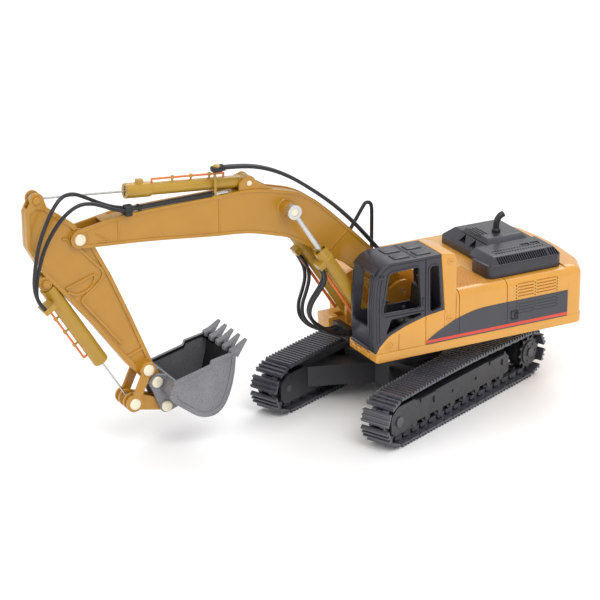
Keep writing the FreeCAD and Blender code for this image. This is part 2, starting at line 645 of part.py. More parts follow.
def boom_shell():
    """The left half of the boom: a thin side with a rim, pin tubes and half of the tip fork."""
    outer = side_face(BOOM_OUTLINE)
    body = outer.extrude(V(0, BOOM_HALF, 0))
    cavity = outer.makeOffset2D(-1.2, 2).extrude(V(0, BOOM_HALF - 1.0, 0))
    cavity = cavity.common(box(4, 148, -1, 5, 40, 120))
    body = body.cut(cavity)
    body = fuse(body, pin(BOOM_FOOT, 5.2, 0, BOOM_HALF), pin(BOOM_TIP, 3.9, FORK_IN, BOOM_HALF),
                pin(BOOM_ROD, 3.2, 0, 9.4))
    body = body.cut(box(150.5, 175, -1, FORK_IN, 90, 120))
    for place, radius in ((BOOM_FOOT, 1.4 + RUN), (BOOM_TIP, 1.5), (BOOM_ROD, 1.8)):
        body = body.cut(pin(place, radius, -1, 10))
    return body


def boom_bracket_ears():
    """The two ears on the boom's back that hold the arm cylinder, with a foot on the boom."""
    ear = side([(70, 111), (69, 112.5), (83.5, 121, 2.5), (87, 118.5, 2), (87, 111)], 2.95, 4.1)
    ears = fuse(ear, pin(ARM_BASE, 3.2, 2.95, 4.1)).cut(pin(ARM_BASE, 1.2, 0, 9))
    top = side(BOOM_OUTLINE, -20, 20)
    return both(ears.cut(top))


def boom():
    left = boom_shell()
    save("boom_shell_left", left)
    save("boom_shell_right", mirror(left))
    tip_pin = headed_pin(BOOM_TIP, 1.5, BOOM_HALF, 2.6)
    save("boom_pins", Part.makeCompound([tip_pin, pin(ARM_BASE, 1.2, -4.4, 4.4)]))
    save("boom_cylinder_pin", pin(BOOM_ROD, 1.8, -13.0, 13.0))
    save("arm_cylinder_bracket", boom_bracket_ears())


def boom_hoses():
    """The two hoses that lie along the boom's back, and their end fittings and clip."""
    tubes = []
    for y in (5.0, 6.9):
        points = [V(x, y, z) for x, z in BOOM_HOSE]
        tubes.append(hose("boom_hose", points))
    start = BOOM_HOSE[0]
    block = box(start[0], start[0] + 5, 3.9, 8.0, start[1] - 1.6, start[1] + 1.6)
    foot = box(start[0] + 1.5, start[0] + 3.5, 3.7, 4.7, 112, start[1])
    foot = foot.cut(side(BOOM_OUTLINE, -20, 20))
    save("hose_fittings", Part.makeCompound([fuse(block, foot), arm_hose_clamp()]))
    save("boom_hoses", Part.makeCompound(tubes), clear_of=["hose_fittings"])


def arm_hose_clamp():
    """The clamp near the boom's tip that holds the hoses of the arm."""
    block = box(137.5, 143.5, 3.7, 8.2, 114.2, 118.2)
    foot = box(138.5, 142.5, 3.7, 4.7, 112, 114.2).cut(side(BOOM_OUTLINE, -20, 20))
    return fuse(block, foot)


def arm_hoses():
    """The two hoses that arch from the boom's clamp over the boom tip to the bucket cylinder."""
    end = point_along(BUCKET_BASE, LINK, HOSE_PORT_ALONG, HOSE_PORT_OUT)
    before = point_along(BUCKET_BASE, LINK, HOSE_PORT_ALONG - 4.5, HOSE_PORT_OUT + 0.6)
    inner = [V(143.5, 6.9, 115.9), V(147.5, 6.8, 116.6), V(152.5, 6.5, 118.9), V(158.6, 6.1, 121.4),
             V(165.0, 5.8, 121.6), V(171.6, 5.6, 117.6), V(177.4, 5.6, 110.8), V(181.6, 5.6, 103.2),
             V(183.9, 5.6, 96.0), V(185.4, 5.4, 89.2), at(before, 5.2), at(end, 5.2)]
    outer = [V(143.5, 5.0, 116.6), V(147.6, 4.7, 117.4), V(153.6, 3.6, 119.8), V(160.6, 3.0, 123.6),
             V(166.4, 4.0, 126.6), V(172.4, 5.8, 126.6), V(177.2, 7.2, 122.2), V(181.6, 7.8, 114.6),
             V(184.9, 7.8, 106.0), V(186.8, 7.8, 96.6), V(187.6, 7.6, 88.0), at(before, 7.4), at(end, 7.4)]
    tubes = [hose("arm_hose_inner", inner), hose("arm_hose_outer", outer)]
    save("arm_hoses", Part.makeCompound(tubes), clear_of=["hose_fittings", "bucket_barrel"])


# ---- cylinders -----------------------------------------------------------------------------------
def round_bar(radius, x0, x1):
    return Part.makeCylinder(radius, x1 - x0, V(x0, 0, 0), V(1, 0, 0))


def barrel(length, outer, bore, rod_radius, play, eye, gland):
    """A cylinder barrel along +X from its base pin; the end cap has a slot in which the rod can swing.

    eye is its radius, half width and pin radius, and gland the radius and length of the end sleeve.
    """
    eye_radius, eye_half, pin_radius = eye
    gland_radius, gland_length = gland
    body = fuse(round_bar(outer, 3.2, length),
                round_bar(gland_radius, length - gland_length, length),
                pin((0, 0), eye_radius, -eye_half, eye_half),
                box(0, 4.5, -eye_half, eye_half, -eye_radius * 0.8, eye_radius * 0.8))
    room = round_bar(bore, 5.5, length - 1.6)
    slot = box(length - 2, length + 1, -rod_radius - 0.1, rod_radius + 0.1,
               -rod_radius - play - 0.1, rod_radius + play + 0.1)
    return body.cut(room).cut(slot).cut(pin((0, 0), pin_radius + RUN, -9, 9))


def piston_rod(length, radius, eye_radius, eye_half, pin_radius):
    """A rod along +X from its eye."""
    eye = pin((0, 0), eye_radius, -eye_half, eye_half)
    return fuse(eye, round_bar(radius, 0, length)).cut(pin((0, 0), pin_radius + RUN, -9, 9))


def side_pipe(start, stop, stand_off, radius, barrel_radius):
    """A hard pipe beside a barrel drawn along +X, on its +Z side, with a short foot at each end."""
    line = rod(V(start, 0, stand_off), V(stop, 0, stand_off), radius)
    feet = [rod(V(x, 0, 0), V(x, 0, stand_off), radius) for x in (start, stop)]
    ends = [Part.makeSphere(radius, V(x, 0, stand_off)) for x in (start, stop)]
    return fuse(line, *(feet + ends)).cut(round_bar(barrel_radius, -stop / 2, 3 * stop / 2))


def port(x0, x1, y0, y1, z0, z1, bore):
    """A block on a barrel drawn along +X, hollowed to the barrel's bore."""
    return box(x0, x1, y0, y1, z0, z1).cut(round_bar(bore, 0, 60))


def cylinders():
    length = math.dist(BOOM_BASE, BOOM_ROD)
    boom_barrel = barrel(length - 24.6, 3.3, 2.65, 1.15, 1.4, (3.3, 2.0, 1.5), (3.0, 2.0))
    boom_port = port(PORT_ALONG, PORT_ALONG + 3.2, -2.6, 2.6, -PORT_OUT - 1.1, -2.0, 3.0)
    boom_rod = piston_rod(56.0, 1.15, 3.4, 1.8, 1.8)
    pipe = side_pipe(5.8, length - 36.0, 4.4, 0.6, 3.3)
    pipe.rotate(V(0, 0, 0), V(1, 0, 0), 180)
    boom_cylinder = Part.makeCompound([fuse(boom_barrel, boom_port), pipe])
    for name, y in (("left", CYLINDER_Y), ("right", -CYLINDER_Y)):
        save(f"boom_barrel_{name}", lay(boom_cylinder, BOOM_BASE, BOOM_ROD, y))
        save(f"boom_rod_{name}", lay(boom_rod, BOOM_ROD, BOOM_BASE, y))

    arm_barrel = barrel(58.7, 2.8, 2.3, 0.6, 1.6, (3.0, 2.85, 1.2), (3.4, 11.5))
    arm_port = port(50.5, 53.5, -1.2, 1.2, 0, 4.8, 2.6)
    save("arm_barrel", lay(fuse(arm_barrel, arm_port), ARM_BASE, ARM_ROD))
    save("arm_pipe", lay(side_pipe(11.0, 46.0, 4.4, 0.5, 2.8), ARM_BASE, ARM_ROD))
    save("arm_rod", lay(piston_rod(75.0, 0.6, 2.4, 1.45, 1.2), ARM_ROD, ARM_BASE))

    bucket_barrel = barrel(48.6, 3.6, 2.3, 0.45, 1.6, (2.8, 1.75, 1.3), (3.0, 2.5))
    bucket_port = port(HOSE_PORT_ALONG, HOSE_PORT_ALONG + 2.6, 1.2, 8.4, 2.8, HOSE_PORT_OUT + 1.2, 2.5)
    save("bucket_barrel", lay(fuse(bucket_barrel, bucket_port), BUCKET_BASE, LINK))
    save("bucket_pipe", lay(side_pipe(11.5, 42.0, 5.2, 0.5, 3.6), BUCKET_BASE, LINK))
    save("bucket_rod", lay(piston_rod(50.0, 0.45, 2.3, 1.4, 1.3), LINK, BUCKET_BASE))


# ---- arm -----------------------------------------------------------------------------------------
ARM_OUTLINE = [(187.7, 120.5), (187.7, 104.5), (180.5, 90.9), (176, 85.5), (170, 78.2), (159, 64.5),
               (149.1, 50.9), (141.8, 40.9), (137.6, 36.6), (132.1, 30.2), (127.6, 30.2), (127.2, 34.5),
               (130.9, 41.8), (140.9, 66.4), (149.1, 85.5), (156.4, 100), (163.6, 109), (166.4, 112.7),
               (178.2, 121.8), (180.5, 124.5)]


def arm_shell():
    """The left half of the arm, hollow between its pin bosses."""
    outer = side_face(ARM_OUTLINE)
    body = outer.extrude(V(0, ARM_HALF, 0))
    cavity = outer.makeOffset2D(-1.3, 2).extrude(V(0, ARM_HALF - 1.0, 0))
    body = body.cut(cavity.common(box(120, 190, -1, 5, 45, 118)))
    body = fuse(body, pin(BOOM_TIP, 3.4, 0, ARM_HALF), pin(ARM_ROD, 3.2, 1.6, ARM_HALF),
                pin(BUCKET_BASE, 3.0, 1.9, ARM_HALF), pin(BUCKET, 3.15, 0, 3.3), pin(ROCKER, 3.2, 0, 5.2))
    body = body.cut(pin(ARM_ROD, 5.4, -1, 1.6)).cut(pin(BUCKET_BASE, 5.0, -1, 1.9))
    body = body.cut(side([(181, 95), (194, 90), (176, 70), (162, 68.5)], -1, 1.9))
    start, stop = point_along(BUCKET_BASE, LINK, 3.1), point_along(BUCKET_BASE, LINK, 52)
    body = body.cut(rod(at(start, 0), at(stop, 0), 3.9))
    for place, radius in ((BOOM_TIP, 1.5 + RUN), (ARM_ROD, 1.2), (BUCKET_BASE, 1.3), (BUCKET, 1.3),
                          (ROCKER, 1.3 + RUN)):
        body = body.cut(pin(place, radius, -1, 9))
    return body


def headed_pin(place, radius, half, head):
    """A pin across the machine with a flat head 0.7 thick at each end."""
    heads = [pin(place, head, half, half + 0.7), pin(place, head, -half - 0.7, -half)]
    return fuse(pin(place, radius, -half, half), *heads)


def arm():
    left = arm_shell()
    save("arm_shell_left", left)
    save("arm_shell_right", mirror(left))
    save("arm_pins", Part.makeCompound([headed_pin(ARM_ROD, 1.2, ARM_HALF, 1.8),
                                        headed_pin(BUCKET_BASE, 1.3, ARM_HALF, 2.0)]))


def linkage():
    """Rocker plates, their pins, and the link between the rocker and the bucket."""
    plate = fuse(bar(ROCKER, 2.1, LINK, 2.0, 5.4, 6.6), pin(ROCKER, 3.6, 5.4, 6.6), pin(LINK, 3.9, 5.4, 6.6))
    plate = plate.cut(pin(ROCKER, 1.3, 0, 9)).cut(pin(LINK, 1.3, 0, 9))
    save("rocker_plates", both(plate))
    pins = [headed_pin(place, 1.3, 6.6, 2.6) for place in (ROCKER, LINK)]
    save("rocker_pins", Part.makeCompound(pins))
    cheek = bar(LINK, 3.9, BUCKET_LINK, 2.6, 1.7, 3.3)
    cheek = cheek.cut(pin(LINK, 2.5, 0, 9)).cut(pin(BUCKET_LINK, 1.3 + RUN, 0, 9))
    web_a, web_b = point_along(LINK, BUCKET_LINK, 6.0), point_along(LINK, BUCKET_LINK, 12.5)
    web = bar(web_a, 1.6, web_b, 1.4, -1.7, 1.7)
    save("bucket_link", fuse(cheek, mirror(cheek), web))


# ---- bucket --------------------------------------------------------------------------------------
BUCKET_OUTLINE = [(125, 34.7), (107, 39.2), (106.5, 41.3), (95, 43.5), (96.2, 33, 14), (97.8, 25.2, 12),
                  (101.2, 18, 6), (107.8, 14.4, 6), (114.8, 15.8), (120.4, 20.2), (125.7, 24.2, 3),
                  (128.2, 28)]


def bucket_shell():
    """The hollow bucket with the two ears that its pins go through."""
    outer = side_face(BUCKET_OUTLINE, -BUCKET_HALF).extrude(V(0, 2 * BUCKET_HALF, 0))
    inner_half = BUCKET_HALF - WALL
    room = side([(123.6, 34.2), (107, 38.2), (96.5, 42.2), (97.5, 33.2, 13), (99.1, 25.8, 11),
                 (102.2, 18.9, 5), (108, 15.8, 5), (114.3, 17.0), (119.7, 21.2), (124.7, 25.0, 2),
                 (126.9, 28.2)], -inner_half, inner_half)
    mouth = side([(123.6, 33.0), (107, 37.0), (96.5, 41.0), (96.5, 60), (123.6, 60)], -inner_half, inner_half)
    ears = []
    for sign in (1, -1):
        y0, y1 = sorted((sign * 3.5, sign * 5.1))
        ears.append(fuse(bar(BUCKET, 3.6, BUCKET_LINK, 3.2, y0, y1),
                         side([(124, 34.5), (129.9, 35.8), (125.4, 17), (119, 18), (120, 28)], y0, y1)))
    shell = fuse(outer, *ears).cut(room).cut(mouth)
    shell = shell.cut(pin(BUCKET, 3.95, -3.5, 3.5))
    return shell.cut(pin(BUCKET, 1.3 + RUN, -9, 9)).cut(pin(BUCKET_LINK, 1.3, -9, 9))


def bucket_teeth():
    """Five teeth, each wrapped over the lip."""
    teeth = []
    for i in range(5):
        y = -13.4 + 6.7 * i
        tooth = side([(96.4, 42.4), (95.0, 43.55), (94.7, 44.0), (89.4, 48.4), (93.4, 43.2), (94.9, 41)],
                     y - 1.5, y + 1.5)
        teeth.append(tooth.cut(side(BUCKET_OUTLINE, -20, 20)))
    return Part.makeCompound(teeth)


def bucket():
    save("bucket_shell", bucket_shell())
    save("bucket_teeth", bucket_teeth())
    save("bucket_pins", Part.makeCompound([headed_pin(BUCKET, 1.3, 5.1, 2.6),
                                           headed_pin(BUCKET_LINK, 1.3, 5.1, 2.6)]))


def hoses():
    boom_hoses()
    arm_hoses()
    for name, sign in (("left", 1), ("right", -1)):
        ends = ["hose_manifold", f"boom_barrel_{name}"]
        save(f"boom_cylinder_hoses_{name}", cylinder_hoses(sign), clear_of=ends)


undercarriage()
house()
boom()
cylinders()
arm()
linkage()
bucket()
hoses()
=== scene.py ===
"""Looks of the toy crawler excavator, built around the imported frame. Outlines are in millimetres."""
import json
import math

import bmesh
import bpy
from mathutils import Matrix, Vector


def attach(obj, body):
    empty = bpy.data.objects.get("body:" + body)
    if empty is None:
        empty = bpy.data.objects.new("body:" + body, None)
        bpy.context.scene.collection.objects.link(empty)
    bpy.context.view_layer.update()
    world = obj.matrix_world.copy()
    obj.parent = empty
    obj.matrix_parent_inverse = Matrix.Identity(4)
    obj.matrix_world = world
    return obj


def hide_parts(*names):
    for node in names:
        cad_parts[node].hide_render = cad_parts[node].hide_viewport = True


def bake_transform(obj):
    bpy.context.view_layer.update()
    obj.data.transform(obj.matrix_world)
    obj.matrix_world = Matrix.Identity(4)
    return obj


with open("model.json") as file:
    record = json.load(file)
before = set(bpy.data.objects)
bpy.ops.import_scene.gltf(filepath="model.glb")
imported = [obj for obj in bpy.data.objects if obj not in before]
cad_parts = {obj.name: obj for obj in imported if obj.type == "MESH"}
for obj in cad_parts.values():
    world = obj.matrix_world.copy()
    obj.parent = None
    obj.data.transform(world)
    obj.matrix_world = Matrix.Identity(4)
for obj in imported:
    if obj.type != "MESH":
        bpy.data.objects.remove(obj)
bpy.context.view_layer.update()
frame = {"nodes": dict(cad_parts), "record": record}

SWING = math.radians(-23.7)
UNDER = Matrix.Scale(0.001, 4)
HOUSE = Matrix.Rotation(SWING, 4, "Z") @ UNDER

# pivots in the side view of the house (x, z), as in the CAD model
BOOM_FOOT = (3.8, 53.4)
BOOM_TIP = (164.3, 105.4)
BOOM_ROD = (63.9, 103.6)
BOOM_BASE = (23.2, 42.0)
ARM_BASE = (82.0, 117.8)
ARM_ROD = (182.7, 125.6)
BUCKET_BASE = (180.1, 87.2)
ROCKER = (134.6, 39.5)
BUCKET = (129.9, 32.3)
LINK = (141.6, 24.5)
BUCKET_LINK = (125.4, 19.9)

# the house: half its width, and heights
HALF_WIDTH = 36.5
DECK_BOTTOM, DECK_TOP, ENGINE_TOP, CAB_TOP = 33.2, 37.7, 61.0, 80.5
REAR_TOP, REAR_START = 61.6, -68.2
CYLINDER_Y = 11.4  # a boom cylinder's distance from the centre plane
BOOM_SIDE, ARM_SIDE = 4.75, 3.0  # half the thickness of the boom and of the arm
BUCKET_SIDE, BUCKET_ROOM = 15.0, 13.3  # the same for the bucket, outside and inside
BUCKET_MIDDLE = (112, 31)
BORE_REACH = 12  # how far a bore's tool goes out from the centre plane


# ---- materials -------------------------------------------
def srgb(code):
    values = [int(code[i:i + 2], 16) / 255 for i in (1, 3, 5)]
    return [v / 12.92 if v <= 0.04045 else ((v + 0.055) / 1.055) ** 2.4 for v in values] + [1.0]


def make_material(name, colour, roughness, metallic=0.0, coat=0.0, tone=0.10, grain=900.0, bump=0.03,
                  edge=0.00018, specks=None):
    """A painted or moulded surface: slow changes of tone, fine grain in the gloss and softened edges."""
    material = bpy.data.materials.new(name)
    material.use_nodes = True
    nodes, links = material.node_tree.nodes, material.node_tree.links
    shader = nodes["Principled BSDF"]
    shader.inputs["Metallic"].default_value = metallic
    shader.inputs["Coat Weight"].default_value = coat
    shader.inputs["Coat Roughness"].default_value = 0.15
    coordinates = nodes.new("ShaderNodeTexCoord")

    def noise(scale, detail):
        node = nodes.new("ShaderNodeTexNoise")
        node.inputs["Scale"].default_value = scale
        node.inputs["Detail"].default_value = detail
        links.new(coordinates.outputs["Object"], node.inputs["Vector"])
        return node.outputs["Fac"]

    def ramp(source, low, high, low_at=0.3, high_at=0.7):
        node = nodes.new("ShaderNodeValToRGB")
        node.color_ramp.elements[0].position = low_at
        node.color_ramp.elements[1].position = high_at
        node.color_ramp.elements[0].color = low
        node.color_ramp.elements[1].color = high
        links.new(source, node.inputs["Fac"])
        return node.outputs["Color"]

    base = srgb(colour)
    dark = [v * (1 - tone) for v in base[:3]] + [1.0]
    light = [min(1.0, v * (1 + tone)) for v in base[:3]] + [1.0]
    tint = ramp(noise(60.0, 3.0), dark, light)
    if specks:
        mix = nodes.new("ShaderNodeMix")
        mix.data_type = "RGBA"
        share = ramp(noise(grain * 1.6, 2.0), [0, 0, 0, 1], [1, 1, 1, 1], 0.56, 0.70)
        links.new(share, mix.inputs["Factor"])
        links.new(tint, mix.inputs["A"])
        mix.inputs["B"].default_value = srgb(specks)
        tint = mix.outputs["Result"]
    links.new(tint, shader.inputs["Base Color"])
    spread = [max(0.03, roughness - 0.07)] * 3 + [1.0], [min(1.0, roughness + 0.09)] * 3 + [1.0]
    links.new(ramp(noise(250.0, 4.0), *spread), shader.inputs["Roughness"])
    rounded = nodes.new("ShaderNodeBevel")
    rounded.samples = 4
    rounded.inputs["Radius"].default_value = edge
    relief = nodes.new("ShaderNodeBump")
    relief.inputs["Strength"].default_value = bump
    relief.inputs["Distance"].default_value = 0.0003
    links.new(noise(grain, 3.0), relief.inputs["Height"])
    links.new(rounded.outputs["Normal"], relief.inputs["Normal"])
    links.new(relief.outputs["Normal"], shader.inputs["Normal"])
    return material


# look: material name, colour, roughness, metallic, coat, tone, grain, bump, edge radius in metres
MATERIALS = {
    "boom_yellow": make_material("boom_paint", "#AE7B1B", 0.38, 0.0, 0.35, 0.06),
    "cylinder_yellow": make_material("cylinder_paint", "#A9821C", 0.36, 0.0, 0.35, 0.08),
    "house_yellow": make_material("house_paint", "#D19434", 0.34, 0.0, 0.6, 0.04),
    "cab_grey": make_material("cab_plastic", "#2A2A33", 0.36, 0.0, 0.15, 0.10, 1400.0, 0.06),
    "trim_black": make_material("trim_plastic", "#17171A", 0.40, 0.0, 0.0, 0.15),
    "undercarriage_black": make_material("undercarriage_paint", "#25262B", 0.40, 0.0, 0.15, 0.15),
    "track_black": make_material("track_plastic", "#44454D", 0.30, 0.0, 0.35, 0.18, 1600.0, 0.10, 0.00012),
    "hub_grey": make_material("hub_plastic", "#4A4B51", 0.40, 0.0, 0.1, 0.10),
    "pin_steel": make_material("pin_metal", "#E4DAC2", 0.35, 0.35, 0.0, 0.08),
    "rod_chrome": make_material("rod_metal", "#C9C9C6", 0.24, 0.9, 0.0, 0.05, 1200.0, 0.02, 0.0001),
    "pipe_orange": make_material("pipe_paint", "#D2691E", 0.35, 0.0, 0.3, 0.08),
    "hose_black": make_material("hose_rubber", "#1A1B20", 0.34, 0.0, 0.0, 0.2, 2500.0, 0.12),
    "bucket_grey": make_material("bucket_paint", "#7E7E83", 0.40, 0.4, 0.0, 0.12, 1800.0, 0.14, 0.0002,
                                 specks="#4A4A50"),
    # painted shade: the bucket's hollow inside is coloured near-black, with darker specks, to stand in for
    # the shade in it
    "bucket_painted_shade": make_material("bucket_inside_painted_shade", "#111114", 0.5, 0.1, 0.0, 0.15, 1800.0, 0.10, 0.0002,
                                 specks="#1E1E23"),
    "band_grey": make_material("band_film", "#3B3C43", 0.42, 0.0, 0.1, 0.05),
    "stripe_red": make_material("stripe_red", "#D2432F", 0.42, 0.0, 0.1, 0.04),
    "stripe_teal": make_material("stripe_teal", "#25505A", 0.42, 0.0, 0.1, 0.04),
    "floor": make_material("floor", "#F7F7F7", 0.6, 0.0, 0.0, 0.0, 900.0, 0.0),
}


# ---- outlines --------------------------------------------
def rounded(points, steps=5):
    """Outline corners; a third number in a point rounds that corner."""
    result = []
    for i, point in enumerate(points):
        corner = Vector(point[:2])
        if len(point) < 3:
            result.append(tuple(corner))
            continue
        back = (Vector(points[i - 1][:2]) - corner).normalized()
        ahead = (Vector(points[(i + 1) % len(points)][:2]) - corner).normalized()
        half = back.angle(ahead) / 2
        centre = corner + (back + ahead).normalized() * point[2] / math.sin(half)
        start = corner + back * point[2] / math.tan(half) - centre
        stop = corner + ahead * point[2] / math.tan(half) - centre
        first = math.atan2(start.y, start.x)
        sweep = (math.atan2(stop.y, stop.x) - first + math.pi) % (2 * math.pi) - math.pi
        for step in range(steps + 1):
            angle = first + sweep * step / steps
            result.append((centre.x + point[2] * math.cos(angle), centre.y + point[2] * math.sin(angle)))
    return result


def arc(centre, radius, start, stop, steps=10):
    turns = [math.radians(start + (stop - start) * i / steps) for i in range(steps + 1)]
    return [(centre[0] + radius * math.cos(t), centre[1] + radius * math.sin(t)) for t in turns]


def flow(points, steps=4):
    """A smooth line through the points (Catmull-Rom)."""
    ends = [points[0]] + list(points) + [points[-1]]
    line = []
    for i in range(1, len(ends) - 2):
        a, b, c, d = (Vector(p) for p in ends[i - 1:i + 3])
        for step in range(steps):
            t = step / steps
            line.append(tuple(0.5 * ((2 * b) + (c - a) * t + (2 * a - 5 * b + 4 * c - d) * t * t
                                     + (3 * b - a - 3 * c + d) * t ** 3)))
    return line + [tuple(points[-1])]


def turned_left(points):
    area = sum(a[0] * b[1] - b[0] * a[1] for a, b in zip(points, points[1:] + points[:1]))
    return area > 0


def inset(points, distance):
    """The outline moved inwards by the distance, with mitred corners."""
    sign = 1 if turned_left(points) else -1
    result = []
    for i, point in enumerate(points):
        corner = Vector(point)
        back = (corner - Vector(points[i - 1])).normalized()
        ahead = (Vector(points[(i + 1) % len(points)]) - corner).normalized()
        normal_a = Vector((-back.y, back.x)) * sign
        normal_b = Vector((-ahead.y, ahead.x)) * sign
        middle = (normal_a + normal_b).normalized()
        result.append(tuple(corner + middle * distance / max(0.35, middle.dot(normal_a))))
    return result


def strip(line, width):
    """The outline of a flat strip of that width along an open line."""
    left, right = [], []
    for i, point in enumerate(line):
        before = Vector(line[max(i - 1, 0)])
        after = Vector(line[min(i + 1, len(line) - 1)])
        along = (after - before).normalized()
        across = Vector((-along.y, along.x)) * width / 2
        left.append(tuple(Vector(point) + across))
        right.append(tuple(Vector(point) - across))
    return left + right[::-1]


def along(a, b, distance, offset=0.0):
    """Side-view point at the distance from a towards b, moved left of that direction by offset."""
    direction = (Vector(b) - Vector(a)).normalized()
    return tuple(Vector(a) + direction * distance + Vector((-direction.y, direction.x)) * offset)


# ---- meshes ----------------------------------------------
PLANES = {
    "side": lambda a, b, depth: (a, depth, b),
    "plan": lambda a, b, depth: (a, b, depth),
    "front": lambda a, b, depth: (depth, a, b),
}


def new_object(name, vertices, faces):
    mesh = bpy.data.meshes.new(name)
    mesh.from_pydata(vertices, [], faces)
    tidy = bmesh.new()
    tidy.from_mesh(mesh)
    bmesh.ops.recalc_face_normals(tidy, faces=tidy.faces)
    tidy.to_mesh(mesh)
    tidy.free()
    obj = bpy.data.objects.new(name, mesh)
    bpy.context.scene.collection.objects.link(obj)
    return obj


def slab(name, points, low, high, plane="side"):
    """A plate with that outline between two depths."""
    place = PLANES[plane]
    count = len(points)
    vertices = [place(a, b, low) for a, b in points] + [place(a, b, high) for a, b in points]
    faces = [tuple(range(count)), tuple(range(2 * count - 1, count - 1, -1))]
    faces += [(i, (i + 1) % count, count + (i + 1) % count, count + i) for i in range(count)]
    return new_object(name, vertices, faces)


def block(name, x0, x1, y0, y1, z0, z1):
    return slab(name, [(x0, y0), (x1, y0), (x1, y1), (x0, y1)], z0, z1, "plan")


def loft(name, rings):
    """A closed shape through outlines stacked one over the other, all with the same number of points."""
    count = len(rings[0])
    vertices = [point for ring in rings for point in ring]
    faces = [tuple(range(count)), tuple(range(len(vertices) - 1, len(vertices) - count - 1, -1))]
    for level in range(len(rings) - 1):
        for i in range(count):
            j = (i + 1) % count
            low, high = level * count, (level + 1) * count
            faces.append((low + i, low + j, high + j, high + i))
    return new_object(name, vertices, faces)


def is_inside(x, z, outline):
    odd = False
    for (x0, z0), (x1, z1) in zip(outline, outline[1:] + outline[:1]):
        if (z0 > z) != (z1 > z) and x < (x1 - x0) * (z - z0) / (z1 - z0) + x0:
            odd = not odd
    return odd


def ring_slab(name, outer, inner, low, high, plane="side"):
    """A plate with one hole; both outlines have the same number of points."""
    place = PLANES[plane]
    count = len(outer)
    vertices = []
    for depth in (low, high):
        vertices += [place(a, b, depth) for a, b in outer] + [place(a, b, depth) for a, b in inner]
    faces = []
    for i in range(count):
        j = (i + 1) % count
        faces += [(i, j, count + j, count + i), (2 * count + i, 2 * count + j, 3 * count + j, 3 * count + i),
                  (i, j, 2 * count + j, 2 * count + i), (count + i, count + j, 3 * count + j, 3 * count + i)]
    return new_object(name, vertices, faces)


def lathe(name, profile, centre, direction, steps=32):
    """A turned shape: profile pairs of (distance along, radius) about a line."""
    axis = Vector(direction).normalized()
    turn = Vector((0, 0, 1)).rotation_difference(axis).to_matrix()
    vertices, faces = [], []
    for distance, radius in profile:
        for i in range(steps):
            angle = 2 * math.pi * i / steps
            local = Vector((radius * math.cos(angle), radius * math.sin(angle), distance))
            vertices.append(Vector(centre) + turn @ local)
    for ring in range(len(profile) - 1):
        for i in range(steps):
            j = (i + 1) % steps
            near, far = ring * steps, (ring + 1) * steps
            faces.append((near + i, near + j, far + j, far + i))
    faces.append(tuple(range(steps)))
    faces.append(tuple(range(len(vertices) - 1, len(vertices) - steps - 1, -1)))
    return new_object(name, vertices, faces)


def round_pin(name, pin, profile, y=0, sign=1):
    """A turned shape about a pin's line, from y outwards on the side of the sign."""
    return lathe(name, profile, (pin[0], y, pin[1]), (0, sign, 0))


def bore(pin, radius, start=-1, stop=BORE_REACH):
    """The tool for a hole along a pin's line."""
    return round_pin("bore", pin, [(start, radius), (stop, radius)])


def bake(obj):
    """Turn the object's modifiers into its mesh."""
    bpy.context.view_layer.update()
    evaluated = obj.evaluated_get(bpy.context.evaluated_depsgraph_get())
    mesh = bpy.data.meshes.new_from_object(evaluated)
    obj.modifiers.clear()
    old = obj.data
    obj.data = mesh
    bpy.data.meshes.remove(old)
    return obj


def soften(obj, width=0.25, segments=2, angle=28):
    bevel = obj.modifiers.new("edges", "BEVEL")
    bevel.width = width
    bevel.segments = segments
    bevel.limit_method = "ANGLE"
    bevel.angle_limit = math.radians(angle)
    bevel.use_clamp_overlap = True
    return bake(obj)


def raised(line, width, low, high, plane="side"):
    """A narrow raised rib along a line."""
    return soften(slab("rib", strip(line, width), low, high, plane), 0.15, 2, 40)


def span(sign, near, far):
    """The two depths in order, on the left for sign 1 and on the right for sign -1."""
    return sorted((sign * near, sign * far))


def at_depth(line, y):
    """A side-view line as points at that depth."""
    return [Vector((x, y, z)) for x, z in line]


def join(objects):
    """Several meshes as one object, the first one's."""
    target = objects[0]
    combined = bmesh.new()
    for obj in objects:
        combined.from_mesh(obj.data)
    combined.to_mesh(target.data)
    combined.free()
    for obj in objects[1:]:
        bpy.data.objects.remove(obj)
    return target


def combine(obj, tools, operation):
    tool = join(tools) if len(tools) > 1 else tools[0]
    boolean = obj.modifiers.new("shape", "BOOLEAN")
    boolean.operation = operation
    boolean.solver = "EXACT"
    boolean.use_self = len(tools) > 1
    boolean.object = tool
    bake(obj)
    bpy.data.objects.remove(tool)
    return obj


def cut(obj, *tools):
    return combine(obj, list(tools), "DIFFERENCE")


def add(obj, *tools):
    for tool in tools:
        combine(obj, [tool], "UNION")
    return obj


def mirrored(obj, name):
    """A copy on the other side of the centre plane."""
    mesh = obj.data.copy()
    mesh.transform(Matrix.Scale(-1, 4, (0, 1, 0)))
    mesh.flip_normals()
    copy = bpy.data.objects.new(name, mesh)
    bpy.context.scene.collection.objects.link(copy)
    return copy


def settle(obj, look, body, nodes=(), place=HOUSE, smooth=35):
    """Put a finished piece in the row frame, give it its look and let it ride on its body."""
    obj.data.transform(place)
    obj.data.shade_smooth()
    obj.data.set_sharp_from_angle(angle=math.radians(smooth))
    obj.data.materials.clear()
    obj.data.materials.append(MATERIALS[look])
    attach(obj, body)
    if nodes:
        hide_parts(*nodes)
    return obj


# ---- cords -----------------------------------------------
HOSE_RADIUS = 0.85
BOOM_HOSE = [(96.4, 127.8), (86.5, 127.2), (75.3, 124.6), (63.5, 119.0), (52.9, 111.6), (41.4, 102.6),
             (30.8, 92.4), (22.0, 82.2), (15.6, 74.6)]
MANIFOLD_Z = 36.7
BOOM_HOSES = {"boom_hose_inner": 5.0, "boom_hose_outer": 6.9}  # depths
PORT_ALONG, PORT_OFFSET = 41.6, -4.5  # a boom cylinder's port, from its base pin and off its line
PORT_SPACING = 1.6  # half the distance between its two hoses


